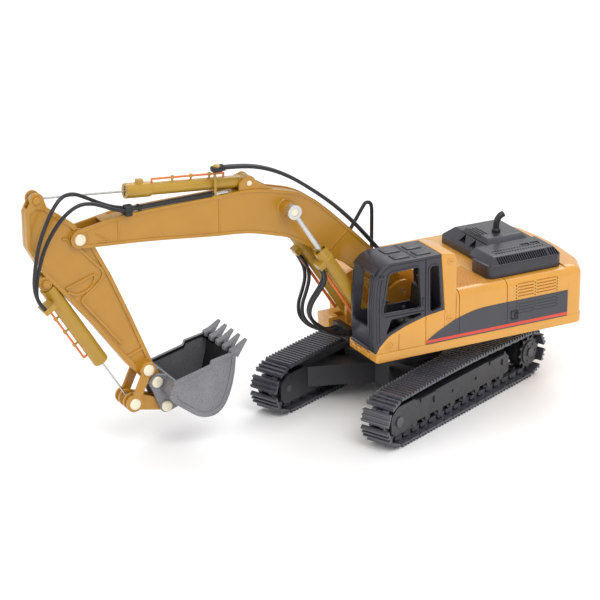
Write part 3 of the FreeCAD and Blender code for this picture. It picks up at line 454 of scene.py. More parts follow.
def nurbs(name, points):
    """An open NURBS line of the route's points, in the row frame."""
    curve = bpy.data.curves.new(name, "CURVE")
    curve.dimensions = "3D"
    spline = curve.splines.new("NURBS")
    spline.points.add(len(points) - 1)
    for knot, point in zip(spline.points, points):
        knot.co = (*(HOUSE @ Vector(point)), 1.0)
    spline.order_u = 3
    spline.use_endpoint_u = True
    spline.resolution_u = 12
    obj = bpy.data.objects.new(name, curve)
    bpy.context.scene.collection.objects.link(obj)
    return obj


def centre_line(curve_object):
    bpy.context.view_layer.update()
    evaluated = curve_object.evaluated_get(bpy.context.evaluated_depsgraph_get())
    mesh = bpy.data.meshes.new_from_object(evaluated)
    line = [v.co.copy() for v in mesh.vertices]
    bpy.data.meshes.remove(mesh)
    return line


def tube(name, line, radius, sides=16):
    """A closed round tube along a line of points, its rings turned as little as possible."""
    vertices, faces = [], []
    forward = (line[1] - line[0]).normalized()
    side = forward.orthogonal().normalized()
    for i, point in enumerate(line):
        ahead = (line[min(i + 1, len(line) - 1)] - line[max(i - 1, 0)]).normalized()
        side = (side - ahead * side.dot(ahead)).normalized()
        up = ahead.cross(side)
        for step in range(sides):
            angle = 2 * math.pi * step / sides
            vertices.append(point + (side * math.cos(angle) + up * math.sin(angle)) * radius)
    for ring in range(len(line) - 1):
        for i in range(sides):
            j = (i + 1) % sides
            near, far = ring * sides, (ring + 1) * sides
            faces.append((near + i, near + j, far + j, far + i))
    faces += [tuple(range(sides)), tuple(range(len(vertices) - 1, len(vertices) - sides - 1, -1))]
    return new_object(name, vertices, faces)


def hose(name, points, nodes, bodies):
    """A hose of the route; it rides on one body, or with two bodies it stays fixed in the row frame."""
    route = nurbs(name + "_route", points)
    line = centre_line(route)
    bpy.data.objects.remove(route)
    piece = tube(name, line, HOSE_RADIUS / 1000)
    piece.data.shade_smooth()
    piece.data.materials.append(MATERIALS["hose_black"])
    if len(bodies) == 1:
        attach(piece, bodies[0])
    else:
        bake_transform(piece)
    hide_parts(*nodes)
    return piece


def cylinder_route(sign, outside):
    """The route of one hose from the deck's manifold to the port of a boom cylinder."""
    if sign > 0:
        route = [(47.9, 71.0, 11.0), (48.1, 67.2, 10.8), (50.9, 62.6, 10.2), (54.2, 57.6, 9.4),
                 (54.9, 52.0, 8.4), (51.4, 46.6, 7.0), (45.6, 41.8, 5.4), (39.8, 38.2, 4.0)]
    else:
        route = [(47.4, 70.6, -11.2), (45.3, 66.0, -11.1), (44.9, 61.0, -11.0), (46.9, 55.4, -10.4),
                 (49.6, 49.8, -9.6), (49.8, 44.0, -8.4), (46.0, 39.2, -6.4), (40.4, 37.0, -4.4)]
    x, z = along(BOOM_BASE, BOOM_ROD, PORT_ALONG, PORT_OFFSET)
    points = [(x, sign * (CYLINDER_Y + PORT_SPACING * outside), z)]
    for step, (x, z, y) in enumerate(route):
        points.append((x + 0.3 * outside, y + sign * outside * (PORT_SPACING - 0.07 * step), z))
    points.append((35.5, sign * (3.6 + 1.1 * outside), MANIFOLD_Z))
    return points[::-1]


def hoses():
    for name, y in BOOM_HOSES.items():
        hose(name, [(x, y, z) for x, z in BOOM_HOSE], ["boom_hoses"], ["boom"])
    end = along(BUCKET_BASE, LINK, 7.0, 7.4)
    before = along(BUCKET_BASE, LINK, 2.5, 8.0)
    inner = [(143.5, 6.9, 115.9), (147.5, 6.8, 116.6), (152.5, 6.5, 118.9), (158.6, 6.1, 121.4),
             (165.0, 5.8, 121.6), (171.6, 5.6, 117.6), (177.4, 5.6, 110.8), (181.6, 5.6, 103.2),
             (183.9, 5.6, 96.0), (185.4, 5.4, 89.2), (before[0], 5.2, before[1]), (end[0], 5.2, end[1])]
    outer = [(143.5, 5.0, 116.6), (147.6, 4.7, 117.4), (153.6, 3.6, 119.8), (160.6, 3.0, 123.6),
             (166.4, 4.0, 126.6), (172.4, 5.8, 126.6), (177.2, 7.2, 122.2), (181.6, 7.8, 114.6),
             (184.9, 7.8, 106.0), (186.8, 7.8, 96.6), (187.6, 7.6, 88.0), (before[0], 7.4, before[1]),
             (end[0], 7.4, end[1])]
    hose("arm_hose_inner", inner, ["arm_hoses"], ["boom", "arm"])
    hose("arm_hose_outer", outer, ["arm_hoses"], ["boom", "arm"])
    for side_name, sign in (("left", 1), ("right", -1)):
        for place, outside in (("outer", 1), ("inner", -1)):
            hose(f"cylinder_hose_{side_name}_{place}", cylinder_route(sign, outside),
                 [f"boom_cylinder_hoses_{side_name}"], ["house", f"boom_barrel_{side_name}"])


# ---- boom ------------------------------------------------
def boom_outline():
    """The boom's side: straight towards the tip, bent in the middle, round at both pins."""
    top = flow([(146.1, 112.9), (130.2, 113.8), (99.8, 114.4), (83.9, 115), (75, 114), (68, 112.6),
                (58.3, 109.9), (51, 106.2), (43.7, 100.4), (32.7, 90), (20.5, 77.8), (5, 61.5),
                (0.6, 57.5)], 3)
    foot = arc(BOOM_FOOT, 5.2, 138, 310, 14)
    bottom = flow([(21.2, 61.4), (31.5, 69.9), (38.8, 74.8), (60.7, 87.8), (68, 90.6), (80.2, 93.9),
                   (88.8, 95.1), (99.8, 95.9), (129, 98.8), (146.1, 100), (158.3, 100.7)], 3)
    tip = arc(BOOM_TIP, 4.1, -70, 78, 12)
    return tip + top + foot + bottom


def boom():
    outline = boom_outline()
    core = slab("boom_half", inset(outline, 0.55), 0, 4.1)
    core = cut(core, block("recess", 150.5, 175, -1, 3.4, 90, 125))
    half = add(core, soften(slab("plate", outline, 3.35, BOOM_SIDE), 0.22))
    cut(half, slab("field", inset(outline, 1.5), 4.4, 5.2))
    for pin, radius, y1 in ((BOOM_TIP, 4.0, BOOM_SIDE), (BOOM_FOOT, 4.6, BOOM_SIDE),
                            (BOOM_ROD, 4.2, BOOM_SIDE), (BOOM_ROD, 3.3, 9.4)):
        half = add(half, round_pin("boss", pin, [(3.6, radius), (y1 - 0.25, radius), (y1, radius - 0.25)]))
    seams = ([(97.2, 97.5), (97.2, 113.6)], [(146.0, 101.5), (146.0, 112.0)], [(41.6, 79.5), (31.4, 88.2)])
    for line in seams:
        half = add(half, raised(line, 0.7, 4.2, 4.72))
    for line in ([(150.2, 102.4), (156.8, 106.8)], [(150.2, 102.4), (155.6, 102.8)]):
        half = add(half, raised(line, 0.6, 4.2, 4.7))
    for pin, radius in ((BOOM_TIP, 1.55), (BOOM_FOOT, 1.45), (BOOM_ROD, 1.85)):
        cut(half, bore(pin, radius))
    other = mirrored(half, "boom_half_right")
    settle(half, "boom_yellow", "boom", ["boom_shell_left"])
    settle(other, "boom_yellow", "boom", ["boom_shell_right"])
    corner = [(149.6, 110.4), (148.6, 112.7), (153.4, 111.6), (152.4, 109.8)]
    settle(soften(slab("boom_tip_gusset", corner, -3.5, 3.5), 0.2), "boom_yellow", "boom")
    line = flow([(143.8, 115.4), (136, 115.0), (120, 115.15), (99.6, 115.35)])
    tip = [(99.8, 115.25), (92.8, 115.35)]
    for i, y in enumerate((4.1, 2.6)):
        settle(tube(f"boom_top_line_{i}", at_depth(line, y), 0.74), "trim_black", "boom")
        settle(tube(f"boom_top_line_tip_{i}", at_depth(tip, y), 0.5), "rod_chrome", "boom")
    settle(soften(block("boom_top_clip", 134.6, 136.0, 1.0, 4.8, 113.6, 116.1), 0.3), "trim_black", "boom")


# ---- arm -------------------------------------------------
def arm_outline():
    back = [(163.6, 109), (156.4, 100), (149.1, 85.5), (140.9, 66.4), (130.9, 41.8), (127.2, 34.5)]
    bottom = arc(BUCKET, 3.15, 190, 320, 8)
    lower = [(137.6, 36.6), (141.8, 40.9), (149.1, 50.9), (159, 64.5), (170, 78.2), (176, 85.5),
             (180.5, 90.9), (187.7, 104.5), (187.7, 120.5), (184.5, 126.6)]
    ear = arc(ARM_ROD, 3.2, 50, 165, 8)
    return back + bottom + lower + ear + [(178.2, 121.8), (166.4, 112.7)]


ARM_POCKET = [(164.6, 106.6), (158, 99.2), (150.7, 84.8), (142.5, 65.8), (133.9, 43.9), (139.2, 42.0),
              (147.7, 52.1), (157.5, 65.6), (168.6, 79.4), (174.5, 86.6), (178.9, 92.0), (186.1, 104.9),
              (186.1, 120.0), (183.4, 121.9), (180.0, 120.9), (167.6, 111.0)]


def arm():
    half = soften(slab("arm_half", arm_outline(), 0, ARM_SIDE), 0.2)
    cut(half, slab("pocket", ARM_POCKET, 2.25, 3.5))
    for pin, radius, y1 in ((BOOM_TIP, 4.4, ARM_SIDE), (ARM_ROD, 3.2, ARM_SIDE), (BUCKET_BASE, 3.2, ARM_SIDE),
                            (BUCKET, 3.15, 3.3), (ROCKER, 3.2, 5.2)):
        half = add(half, round_pin("boss", pin, [(2.0, radius), (y1 - 0.2, radius), (y1, radius - 0.2)]))
    ribs = [
        ([(170.9, 83.2), (156.8, 87.7)], 1.1),
        (flow([(156.8, 87.2), (158.2, 83.0), (161.6, 80.4), (166.0, 79.8), (170.2, 81.6)]), 1.0),
        (flow([(167.3, 104.5), (158.5, 94.6), (153.6, 89.1), (153.4, 86.0), (156.2, 82.6), (161.6, 78.6),
               (163.4, 76.2), (160.9, 72.7), (152.9, 62.4), (145.5, 52.7)]), 1.2),
        ([(171.6, 106.2), (169.6, 106.0), (168.0, 103.6)], 0.9),
        ([(143.2, 45.9), (135, 49.1)], 1.1),
    ]
    for line, width in ribs:
        half = add(half, raised(line, width, 2.0, 2.98))
    start, end = along(BUCKET_BASE, LINK, 3.1), along(BUCKET_BASE, LINK, 52)
    direction = (end[0] - start[0], 0, end[1] - start[1])
    tools = [bore(ARM_ROD, 5.4, -1, 1.6), bore(BUCKET_BASE, 5.0, -1, 1.9),
             lathe("groove", [(0, 3.9), (49, 3.9)], (start[0], 0, start[1]), direction)]
    tools += [bore(pin, radius) for pin, radius in ((BOOM_TIP, 1.55), (ARM_ROD, 1.25), (BUCKET_BASE, 1.35),
                                                    (BUCKET, 1.35), (ROCKER, 1.4))]
    for tool in tools:
        cut(half, tool)
    other = mirrored(half, "arm_half_right")
    settle(half, "boom_yellow", "arm", ["arm_shell_left"])
    settle(other, "boom_yellow", "arm", ["arm_shell_right"])


# ---- bucket ----------------------------------------------
def belly_line():
    """The bucket's wrapper in the side view, from the lip round the belly to the back."""
    return flow([(95, 43.5), (95.5, 38), (96.2, 32.5), (97.8, 26), (100.6, 19.6), (104.6, 15.6),
                 (109.6, 14.7), (114.8, 16.2), (120.0, 19.9), (125.2, 24.0), (127.4, 27.4), (128.2, 28.6)], 3)


def towards_middle(line, distance):
    middle = Vector(BUCKET_MIDDLE)
    return [tuple(Vector(p) + (middle - Vector(p)).normalized() * distance) for p in line]


def bucket():
    belly = belly_line()
    inner = towards_middle(belly, 1.3)
    band = belly + towards_middle(belly, 2.4)[::-1]
    edge = strip([(126.0, 33.9), (107.6, 38.6), (106.9, 40.6), (96, 42.7)], 1.5)
    ear = [(124, 34.4)] + arc(BUCKET, 3.6, 100, -10, 8) + arc(BUCKET_LINK, 3.2, -10, -100, 8) + [(119, 18.6)]
    shell = slab("bucket_body", belly + inner[::-1], -14.3, 14.3)
    shell = add(shell, slab("back", [(128.2, 28.4), (125, 34.7), (123.7, 34.4), (126.6, 28.6)], -14.3, 14.3))
    for sign in (1, -1):
        side = belly + [(125, 34.7), (107, 39.2), (106.5, 41.3)]
        shell = add(shell, slab("side", side, *span(sign, 13.8, 14.6)))
        for outline, near, far in ((band, 14.2, BUCKET_SIDE), (edge, BUCKET_ROOM, BUCKET_SIDE),
                                   (ear, 3.5, 5.1)):
            shell = add(shell, soften(slab("edge", outline, *span(sign, near, far)), 0.2, 2, 40))
    lip = [(94.6, 43.9), (95.4, 41.4), (98.2, 41.4), (97.9, 43.2)]
    shell = add(shell, soften(slab("lip", lip, -BUCKET_SIDE, BUCKET_SIDE), 0.2))
    for pin in (BUCKET, BUCKET_LINK):
        cut(shell, bore(pin, 1.36, -9, 9))
    room = inner + [(123.6, 34), (123.6, 48), (96.5, 48)]
    cut(shell, slab("room", room, -BUCKET_ROOM, BUCKET_ROOM))
    # faces that look into the bucket's room are collected here to take the near-black painted shade
    dark = []
    for face in shell.data.polygons:
        facing = face.center + face.normal * 0.25
        if abs(facing.y) < BUCKET_ROOM and is_inside(facing.x, facing.z, room):
            dark.append(face.index)
    settle(shell, "bucket_grey", "bucket", ["bucket_shell"])
    # the second material is the painted shade for the bucket's inside faces
    shell.data.materials.append(MATERIALS["bucket_painted_shade"])
    for index in dark:
        shell.data.polygons[index].material_index = 1
    teeth = []
    for i in range(5):
        y = -13.4 + 6.7 * i
        profile = [(97.6, 42.0), (97.3, 44.1), (94.4, 45.0), (89.4, 48.4), (89.2, 48.1), (92.6, 43.4),
                   (94.2, 40.8)]
        tooth = slab("bucket_tooth_row", profile, y - 1.75, y + 1.75)
        for vertex in tooth.data.vertices:
            if vertex.co.x < 91:
                vertex.co.y = y + (vertex.co.y - y) * 0.72
        teeth.append(soften(tooth, 0.25))
    settle(join(teeth), "bucket_grey", "bucket", ["bucket_teeth"])


# ---- house -----------------------------------------------
CAB_SIDE = [(35.5, DECK_TOP), (36.3, 45), (36.5, 60), (35.5, 72), (34.5, 76, 2.0), (32, 78.7),
            (28.5, CAB_TOP, 2.5), (1.4, CAB_TOP), (-0.8, 53.2), (-0.8, DECK_TOP)]
CAB_INSIDE = [(34.2, 30), (35.1, 45), (35.2, 60), (34.2, 71.6), (33.3, 75), (31.2, 77.5), (28, 79.2),
              (2.6, 79.2), (0.4, 53), (0.4, 30)]
CAB_PANEL = [(35.3, DECK_TOP), (33.4, 41), (28.6, 45.5, 9), (20, 49), (9, 52, 24), (-0.8, 53.2),
             (-0.8, DECK_TOP)]
SIDE_WINDOW = [(28.4, 75.6, 2.0), (13.2, 76.3, 1.2), (12, 56.4, 1.2), (31.8, 56.8, 1.5)]
QUARTER_WINDOW = [(7.4, 75.5, 1.5), (3.0, 75.5, 1.5), (1.4, 54.6, 1.2), (7.0, 53.6, 1.2)]
LOWER_WINDOW = [(27.3, 53.5, 0.6), (11.6, 54.1, 0.6), (12, 52.4), (21, 49.9), (30.4, 46.0, 0.6)]
RIGHT_WINDOW = [(29, 76, 1.5), (4, 76, 1.5), (2.6, 52, 1.5), (32, 52, 1.5)]
WINDSCREEN = [(16.8, 49.4, 1.5), (30.6, 49.4, 1.5), (30.6, 76.0, 1.5), (16.8, 76.0, 1.5)]
PANEL_IN = 35.3  # depth of the cab side panel's back


def cab():
    shell = soften(slab("cab_body", rounded(CAB_SIDE), 15, HALF_WIDTH), 0.7, 3, 40)
    cut(shell, slab("room", CAB_INSIDE, 16.2, PANEL_IN))
    above = [(-2, 79.2), (28, 79.2), (31.2, 77.5), (33.3, 75), (37, 78), (34, 83), (-2, 83)]
    cut(shell, slab("above", above, 13, 38))
    cut(shell, slab("below", rounded(CAB_PANEL), PANEL_IN, 38))
    for window in (SIDE_WINDOW, QUARTER_WINDOW, LOWER_WINDOW):
        cut(shell, slab("window", rounded(window), 34, 38))
    cut(shell, slab("window", rounded(RIGHT_WINDOW), 14, 17))
    cut(shell, slab("window", rounded(WINDSCREEN), 31, 40, "front"))
    cut(shell, slab("seam", strip([(9.6, 52), (9.6, 79)], 0.45), 36.0, 37))
    cut(shell, slab("seam", strip([(30.8, 55.2), (10.2, 54.9)], 0.35), 36.15, 37))
    settle(shell, "cab_grey", "house", ["cab_shell"])
    frames = []
    for window in (SIDE_WINDOW, QUARTER_WINDOW):
        opening = rounded(window)
        rim = ring_slab("cab_frames", inset(opening, -1.0), inset(opening, -0.05), 36.3, 36.85)
        frames.append(soften(rim, 0.2, 2, 40))
    for x in (33.6, 32.0):
        line = [(x + 0.9, 43), (x + 1.2, 50), (x + 1.4, 60), (x + 0.6, 71), (x - 0.8, 75.4)]
        frames.append(raised(flow(line), 0.7, 36.3, 36.85))
    for y in (32.0, 33.6, 35.2):
        line = [(34.9, 38.2), (36.1, 45), (36.3, 60), (35.3, 72), (34.4, 75.4)]
        frames.append(raised(flow(line), 0.8, y - 0.35, y + 0.35))
    brow = [(33.0, 76.6), (35.4, 75.0), (35.5, 76.2), (33.6, 78.4)]
    frames.append(soften(slab("brow", brow, 15.6, 34.6), 0.3))
    frames.append(soften(block("sill", 34.9, 36.2, 15.2, 31, 47.6, 49.2), 0.3))
    frames.append(soften(block("foot", 34.6, 36.6, 15.4, 31.2, 38.4, 40.2), 0.3))
    frames.append(soften(block("handle", 10.4, 11.3, 36.3, 37.3, 57.6, 61.0), 0.25))
    frames.append(soften(block("hook", 32.0, 34.4, 35.8, 37.1, 73.6, 74.8), 0.3))
    settle(join(frames), "cab_grey", "house")


def roof():
    top = [(1.4, 79.2), (28, 79.2), (31.2, 77.5), (33.3, 75), (34.5, 76), (33.4, 77.6), (31.6, 79.2),
           (28.5, CAB_TOP), (1.4, CAB_TOP)]
    panel = soften(slab("cab_top", top, 14.8, HALF_WIDTH), 0.4, 3, 40)
    tiles = [(4.5, 12.5, 18.5, 24.5), (4.5, 12.5, 26.5, 33), (15.5, 24, 17.5, 24.5), (15.5, 24, 26.5, 33)]
    for x0, x1, y0, y1 in tiles:
        corners = [(x0, y0, 1), (x1, y0, 1), (x1, y1, 1), (x0, y1, 1)]
        tile = slab("tile", rounded(corners), CAB_TOP - 0.3, CAB_TOP + 0.45, "plan")
        add(panel, soften(tile, 0.2, 2, 40))
    for x in (13.9, 14.8):
        cut(panel, block("groove", x - 0.18, x + 0.18, 16, 35.5, CAB_TOP - 0.25, CAB_TOP + 1))
    settle(panel, "cab_grey", "house", ["cab_roof"])


def side_panel():
    panel = soften(slab("cab_lower_panel", rounded(CAB_PANEL), PANEL_IN, HALF_WIDTH), 0.2, 2, 40)
    cut(panel, slab("groove", strip([(23.3, 37), (23.3, 45.8)], 0.35), 36.2, 37))
    cut(panel, slab("groove", strip([(9.2, 37), (9.2, 52)], 0.4), 36.2, 37))
    turns = [2 * math.pi * i / 24 for i in range(24)]
    oval = [(28.5 + 2.3 * math.cos(t), 40.9 + 1.9 * math.sin(t)) for t in turns]
    add(panel, soften(ring_slab("oval", oval, inset(oval, 0.35), 36.3, 36.75), 0.1, 2, 40))
    for x in (27.7, 28.5, 29.3):
        add(panel, soften(slab("bar", strip([(x, 39.9), (x, 41.9)], 0.35), 36.3, 36.7), 0.08))
    settle(panel, "house_yellow", "house", ["cab_side_panel"])


def inside():
    """The seat on its foot, the floor, two consoles and their levers."""
    seat = soften(block("cab_seat", 6, 17, 20, 31, 44, 47), 1.2, 3)
    back = slab("seat_back", rounded([(6, 46), (9, 46), (7.5, 63, 1.5), (4.5, 63, 1.5)]), 20.5, 30.5)
    head = slab("headrest", rounded([(5, 63), (7.2, 63), (6.8, 67.5, 1), (4.6, 67.5, 1)]), 23, 28)
    pieces = [seat, soften(back, 0.8, 3), soften(head, 0.6, 3),
              soften(block("seat_foot", 9, 14, 23, 28, 41, 44.2), 0.4),
              soften(block("cab_floor", 4, 30, 18, 34.5, DECK_TOP, 41.1), 0.5),
              soften(block("console", 22, 27, 22, 28, 41, 50), 0.8),
              soften(block("console", 6, 20, 32, 34.6, 41, 50.5), 0.8)]
    for length, foot, direction in ((6, (18.5, 33.2, 50), (0.1, 0, 1)), (8, (24.5, 25, 49), (-0.15, 0, 1))):
        profile = [(0, 0.5), (length, 0.4), (length + 0.2, 0.9), (length + 1.4, 0.9), (length + 1.6, 0.4)]
        pieces.append(lathe("lever", profile, foot, direction))
    settle(join(pieces), "trim_black", "house", ["cab_interior"])


def rear_wall():
    outer = [(-0.8, DECK_TOP), (-0.8, 53.2), (1.4, 80.8), (-6, 79.2, 1.2), (-7, 76.8), (-7, DECK_TOP)]
    wall = soften(slab("cab_back", rounded(outer), 14.2, HALF_WIDTH), 0.5, 3, 30)
    for z in (76.3, 48.6):
        add(wall, round_pin("screw", (-3.2, z), [(36.2, 1.5), (36.75, 1.5), (36.95, 1.2)]))
        cut(wall, block("screw_slot", -4.2, -2.2, 36.7, 38, z - 0.15, z + 0.15))
    settle(wall, "house_yellow", "house", ["cab_rear_wall"])


def dimple_field(x0, x1, y0, y1, z, pitch, size, height):
    """Rows of small raised studs, every other row shifted by half."""
    vertices, faces = [], []
    rows = int((x1 - x0) / pitch)
    for row in range(rows):
        for column in range(int((y1 - y0) / pitch)):
            x = x0 + pitch * (row + 0.5)
            y = y0 + pitch * (column + (0.75 if row % 2 else 0.25))
            first = len(vertices)
            for dx, dy in ((-1, -1), (1, -1), (1, 1), (-1, 1)):
                vertices.append((x + dx * size, y + dy * size, z))
            for dx, dy in ((-1, -1), (1, -1), (1, 1), (-1, 1)):
                vertices.append((x + dx * size * 0.5, y + dy * size * 0.5, z + height))
            faces.append(tuple(first + i for i in (4, 5, 6, 7)))
            faces.append(tuple(first + i for i in (3, 2, 1, 0)))
            for i in range(4):
                j = (i + 1) % 4
                faces.append((first + i, first + j, first + 4 + j, first + 4 + i))
    return new_object("deck_studs", vertices, faces)


LOUVRE_COLUMNS = ((-49.0, -40.4), (-61.4, -50.6))
DOT_COLUMNS = (-39.5, -49.8, -62.0)
DOOR_SEAMS = (-8.6, -34.5)


def louvres(heights, thickness, sign, near, far):
    """The tools for two columns of slots in the house's side."""
    y0, y1 = span(sign, near, far)
    return [block("slots", x0, x1, y0, y1, z - thickness / 2, z + thickness / 2)
            for z in heights for x0, x1 in LOUVRE_COLUMNS]


def engine_cover():
    section = [(-HALF_WIDTH, DECK_TOP), (-HALF_WIDTH, ENGINE_TOP, 3.6), (HALF_WIDTH, ENGINE_TOP, 3.6),
               (HALF_WIDTH, DECK_TOP)]
    cover = slab("engine_case", rounded(section, 8), REAR_START, -7, "front")
    groove = [(35.9, 37), (35.9, 57.0), (35.0, 59.2), (32.8, 60.5), (28, 60.5), (28, 62), (34, 62),
              (36.8, 60.5), (37.6, 58), (37.6, 37)]
    for x in DOOR_SEAMS:
        cut(cover, slab("seam", groove, x - 0.22, x + 0.22, "front"))
    for sign in (1, -1):
        cut(cover, *louvres((58.4, 56.9, 55.4, 53.9, 52.4), 0.52, sign, 35.9, 37.2))
    settle(cover, "house_yellow", "house", ["engine_cover"])
    dots = []
    rows = [(z, 36.52) for z in (57.7, 56.2, 54.7, 53.2, 51.7)]
    rows += [(z, 36.78) for z in (49.4, 47.9, 46.4, 44.9)]
    for z, y in rows:
        for x in DOT_COLUMNS:
            dot = block("louvre_dots", x - 0.3, x + 0.3, y - 0.2, y + 0.06, z - 0.35, z + 0.25)
            dots.append(soften(dot, 0.06, 1))
    settle(join(dots), "trim_black", "house")
    settle(dimple_field(-26.5, -8.8, 8.5, 33.5, ENGINE_TOP, 1.15, 0.34, 0.32), "house_yellow", "house")


def side_band():
    """The plain dark band along the house's side, with its coloured lines; it bears no lettering."""
    band = flow([(8.4, 39.7), (3.6, 42.6), (-2.0, 45.4), (-8.6, 48.0), (-18.6, 50.2), (-30.0, 50.6)], 4)
    band += [(-68.0, 50.6), (-68.0, 39.7)]
    panel = soften(slab("side_band", band, 36.45, 36.78), 0.05, 1, 40)
    slots = louvres((48.7, 47.2, 45.7, 44.2), 0.44, 1, 36.6, 37.2)
    slots += [block("seam", x - 0.2, x + 0.2, 36.6, 37.2, 38, 52) for x in DOOR_SEAMS]
    cut(panel, *slots)
    settle(panel, "band_grey", "house")
    for look, z0, z1, y1 in (("stripe_red", 38.3, 39.75, 36.82), ("stripe_teal", 37.8, 38.32, 36.74)):
        stripe = slab("side_" + look, [(9.0, z0), (8.5, z1), (-68.0, z1), (-68.0, z0)], 36.45, y1)
        settle(soften(stripe, 0.05, 1, 40), look, "house")
    rim = rounded([(-36.6, 41.4, 0.5), (-36.6, 45.8, 0.5), (-40.6, 45.8, 0.5), (-40.6, 41.4, 0.5)])
    latch = soften(ring_slab("engine_latch", rim, inset(rim, 0.45), 36.6, 37.1), 0.1, 2, 40)
    knob = soften(block("knob", -40.0, -38.6, 36.6, 37.2, 42.4, 44.8), 0.2)
    settle(join([latch, knob]), "trim_black", "house")


def rear_outline(inward):
    """The left half of the house's bulging rear end, seen from above."""
    return [(-76 + inward, HALF_WIDTH - inward, 5), (-82 + inward, 25 - inward / 2, 10),
            (-84 + inward, 8, 10)]


def deck():
    rear = rear_outline(0)
    outline = [(34.7, HALF_WIDTH, 1.5)] + rear + [(x, -y, radius) for x, y, radius in reversed(rear)]
    outline += [(20, -HALF_WIDTH, 2), (20, -20.5), (34.6, -20.5, 1), (34.6, -9.2), (30, -9.2), (30, 11),
                (34.7, 11)]
    plate = soften(slab("deck_plate", rounded(outline, 8), DECK_BOTTOM, DECK_TOP, "plan"), 0.35, 3)
    step = [(22, -20.5), (34.6, -20.5), (34.6, -9.2), (29, -9.2), (29, -14.9), (22, -14.9)]
    add(plate, soften(slab("step", step, DECK_TOP - 0.5, 40, "plan"), 0.3))
    for y in (14.5, 19.0, 27.0):
        add(plate, soften(block("lug", 34.2, 35.4, y, y + 3.2, 34.2, 36.6), 0.3))
    settle(plate, "house_yellow", "house", ["deck"])


def counterweight():
    """The rear weight, a little inside the deck's edge, its top edge rounded over."""
    step_in, radius = 0.3, 4.4
    levels = [(step_in, DECK_TOP - 0.3), (step_in, REAR_TOP - radius)]
    levels += [(step_in + radius * (1 - math.cos(t)), REAR_TOP - radius + radius * math.sin(t))
               for t in (math.radians(11.25 * step) for step in range(1, 9))]
    rings = []
    for inward, z in levels:
        rear = [(x, y, 4) for x, y, _ in rear_outline(inward)]
        left = rounded([(REAR_START, HALF_WIDTH - inward)] + rear + [(-84 + inward, 0)], 8)
        ring = left + [(x, -y) for x, y in reversed(left[:-1])]
        rings.append([(x, y, z) for x, y in ring])
    settle(loft("rear_weight", rings), "house_yellow", "house", ["counterweight"])


EXHAUST = (-50, 1.5)
SLOT_COUNT, SLOT_PITCH = 27, 1.22
PLAIN_BAR = 22  # the place in the row of slots that stays closed


def hood():
    outline = rounded([(-27, 31.8, 4), (-27, 17), (-68, 17), (-68, 31.8, 4)], 8)
    lobe = slab("hood_body", outline, ENGINE_TOP, 67.4, "plan")
    top = slab("slope", [(12, 67.3), (31.6, 67.3), (27.6, 70.4), (12, 70.4)], -67.0, -28.2, "front")
    for vertex in top.data.vertices:
        if vertex.co.z > 69:
            vertex.co.x += -3.6 if vertex.co.x > -40 else 2.0
    outline = rounded([(-35.3, 17), (-35.3, -25, 2.0), (-68, -25, 2.0), (-68, 17)], 6)
    centre = slab("centre", outline, ENGINE_TOP, 65.0, "plan")
    upper = slab("upper", [(-35.5, 64.9), (-40, 69.6), (-64.5, 69.6), (-67.8, 64.9)], -24.8, 17)
    for vertex in upper.data.vertices:
        if vertex.co.z > 69 and vertex.co.y < 0:
            vertex.co.y = -19.5
    tier = slab("tier", [(-13, 69.5), (-10.5, 71.8), (7.5, 71.8), (11, 69.5)], -62, -39.5, "front")
    for vertex in tier.data.vertices:
        if vertex.co.z > 70:
            vertex.co.x += -1.6 if vertex.co.x > -50 else 1.6
    body = soften(lobe, 0.5, 3)
    for piece in (soften(top, 0.5, 3), soften(centre, 0.5, 3), soften(upper, 0.5, 3), soften(tier, 0.4, 3)):
        add(body, piece)
    slot = [(27.6, 68.9), (30.4, 66.9), (32.8, 68.6), (29.4, 71.6)]
    places = [-33.6 - SLOT_PITCH * i for i in range(SLOT_COUNT) if i != PLAIN_BAR]
    cut(body, *[slab("slots", slot, x - 0.36, x + 0.36, "front") for x in places])
    holes = []
    for row in range(2):
        for i in range(18):
            x = -35.5 - 1.5 * i
            y = 24.6 - 3.0 * row
            holes.append(block("holes", x - 0.4, x + 0.4, y - 0.5, y + 0.5, 69.9, 71))
    for x0, x1 in ((-62, -57.5), (-56.5, -52)):
        holes.append(block("holes", x0, x1, 18.5, 21.0, 70.0, 71))
    cut(body, *holes)
    for y in (2.0, -7.0):
        intake = slab("intake", [(y - 3.2, 65.9), (y + 2.6, 65.9), (y - 1.6, 69.2)], -41, -34, "front")
        cut(body, intake)
    cut(body, lathe("exhaust_hole", [(0, 1.5), (9, 1.5)], (*EXHAUST, 70.6), (0, 0, 1)))
    settle(body, "cab_grey", "house", ["engine_hood"])
    grille = []
    for y in (1.5 * i for i in range(7)):
        for x in (1.6 * j for j in range(4)):
            bar = block("grille_bars", -45 + x, -44.1 + x, -8 + y, -7.1 + y, 71.7, 72.1)
            grille.append(soften(bar, 0.12))
    settle(join(grille), "cab_grey", "house")


def pipes_and_rails():
    bend = flow([(-50, 70.6), (-50, 75.2), (-50.5, 77.5), (-51.8, 79.3), (-53.8, 80.2)], 6)
    pipe = tube("exhaust", at_depth(bend, EXHAUST[1]), 1.5, 24)
    collar = lathe("collar", [(0, 2.1), (1.6, 2.1), (2.0, 1.7), (2.4, 1.4)], (*EXHAUST, 71.5), (0, 0, 1))
    settle(join([pipe, collar]), "trim_black", "house", ["exhaust_pipe"])
    rail = flow([(-1.8, 58), (-1.8, 66), (-1.8, 78), (-1.6, 82.2), (-0.6, 84.2), (1.4, 84.5), (3.2, 82.6),
                 (7.6, 76.0), (13.6, 67.0), (19.6, 58)], 5)
    settle(tube("grab_rail", at_depth(rail, -33), 0.9), "trim_black", "house", ["handrail"])


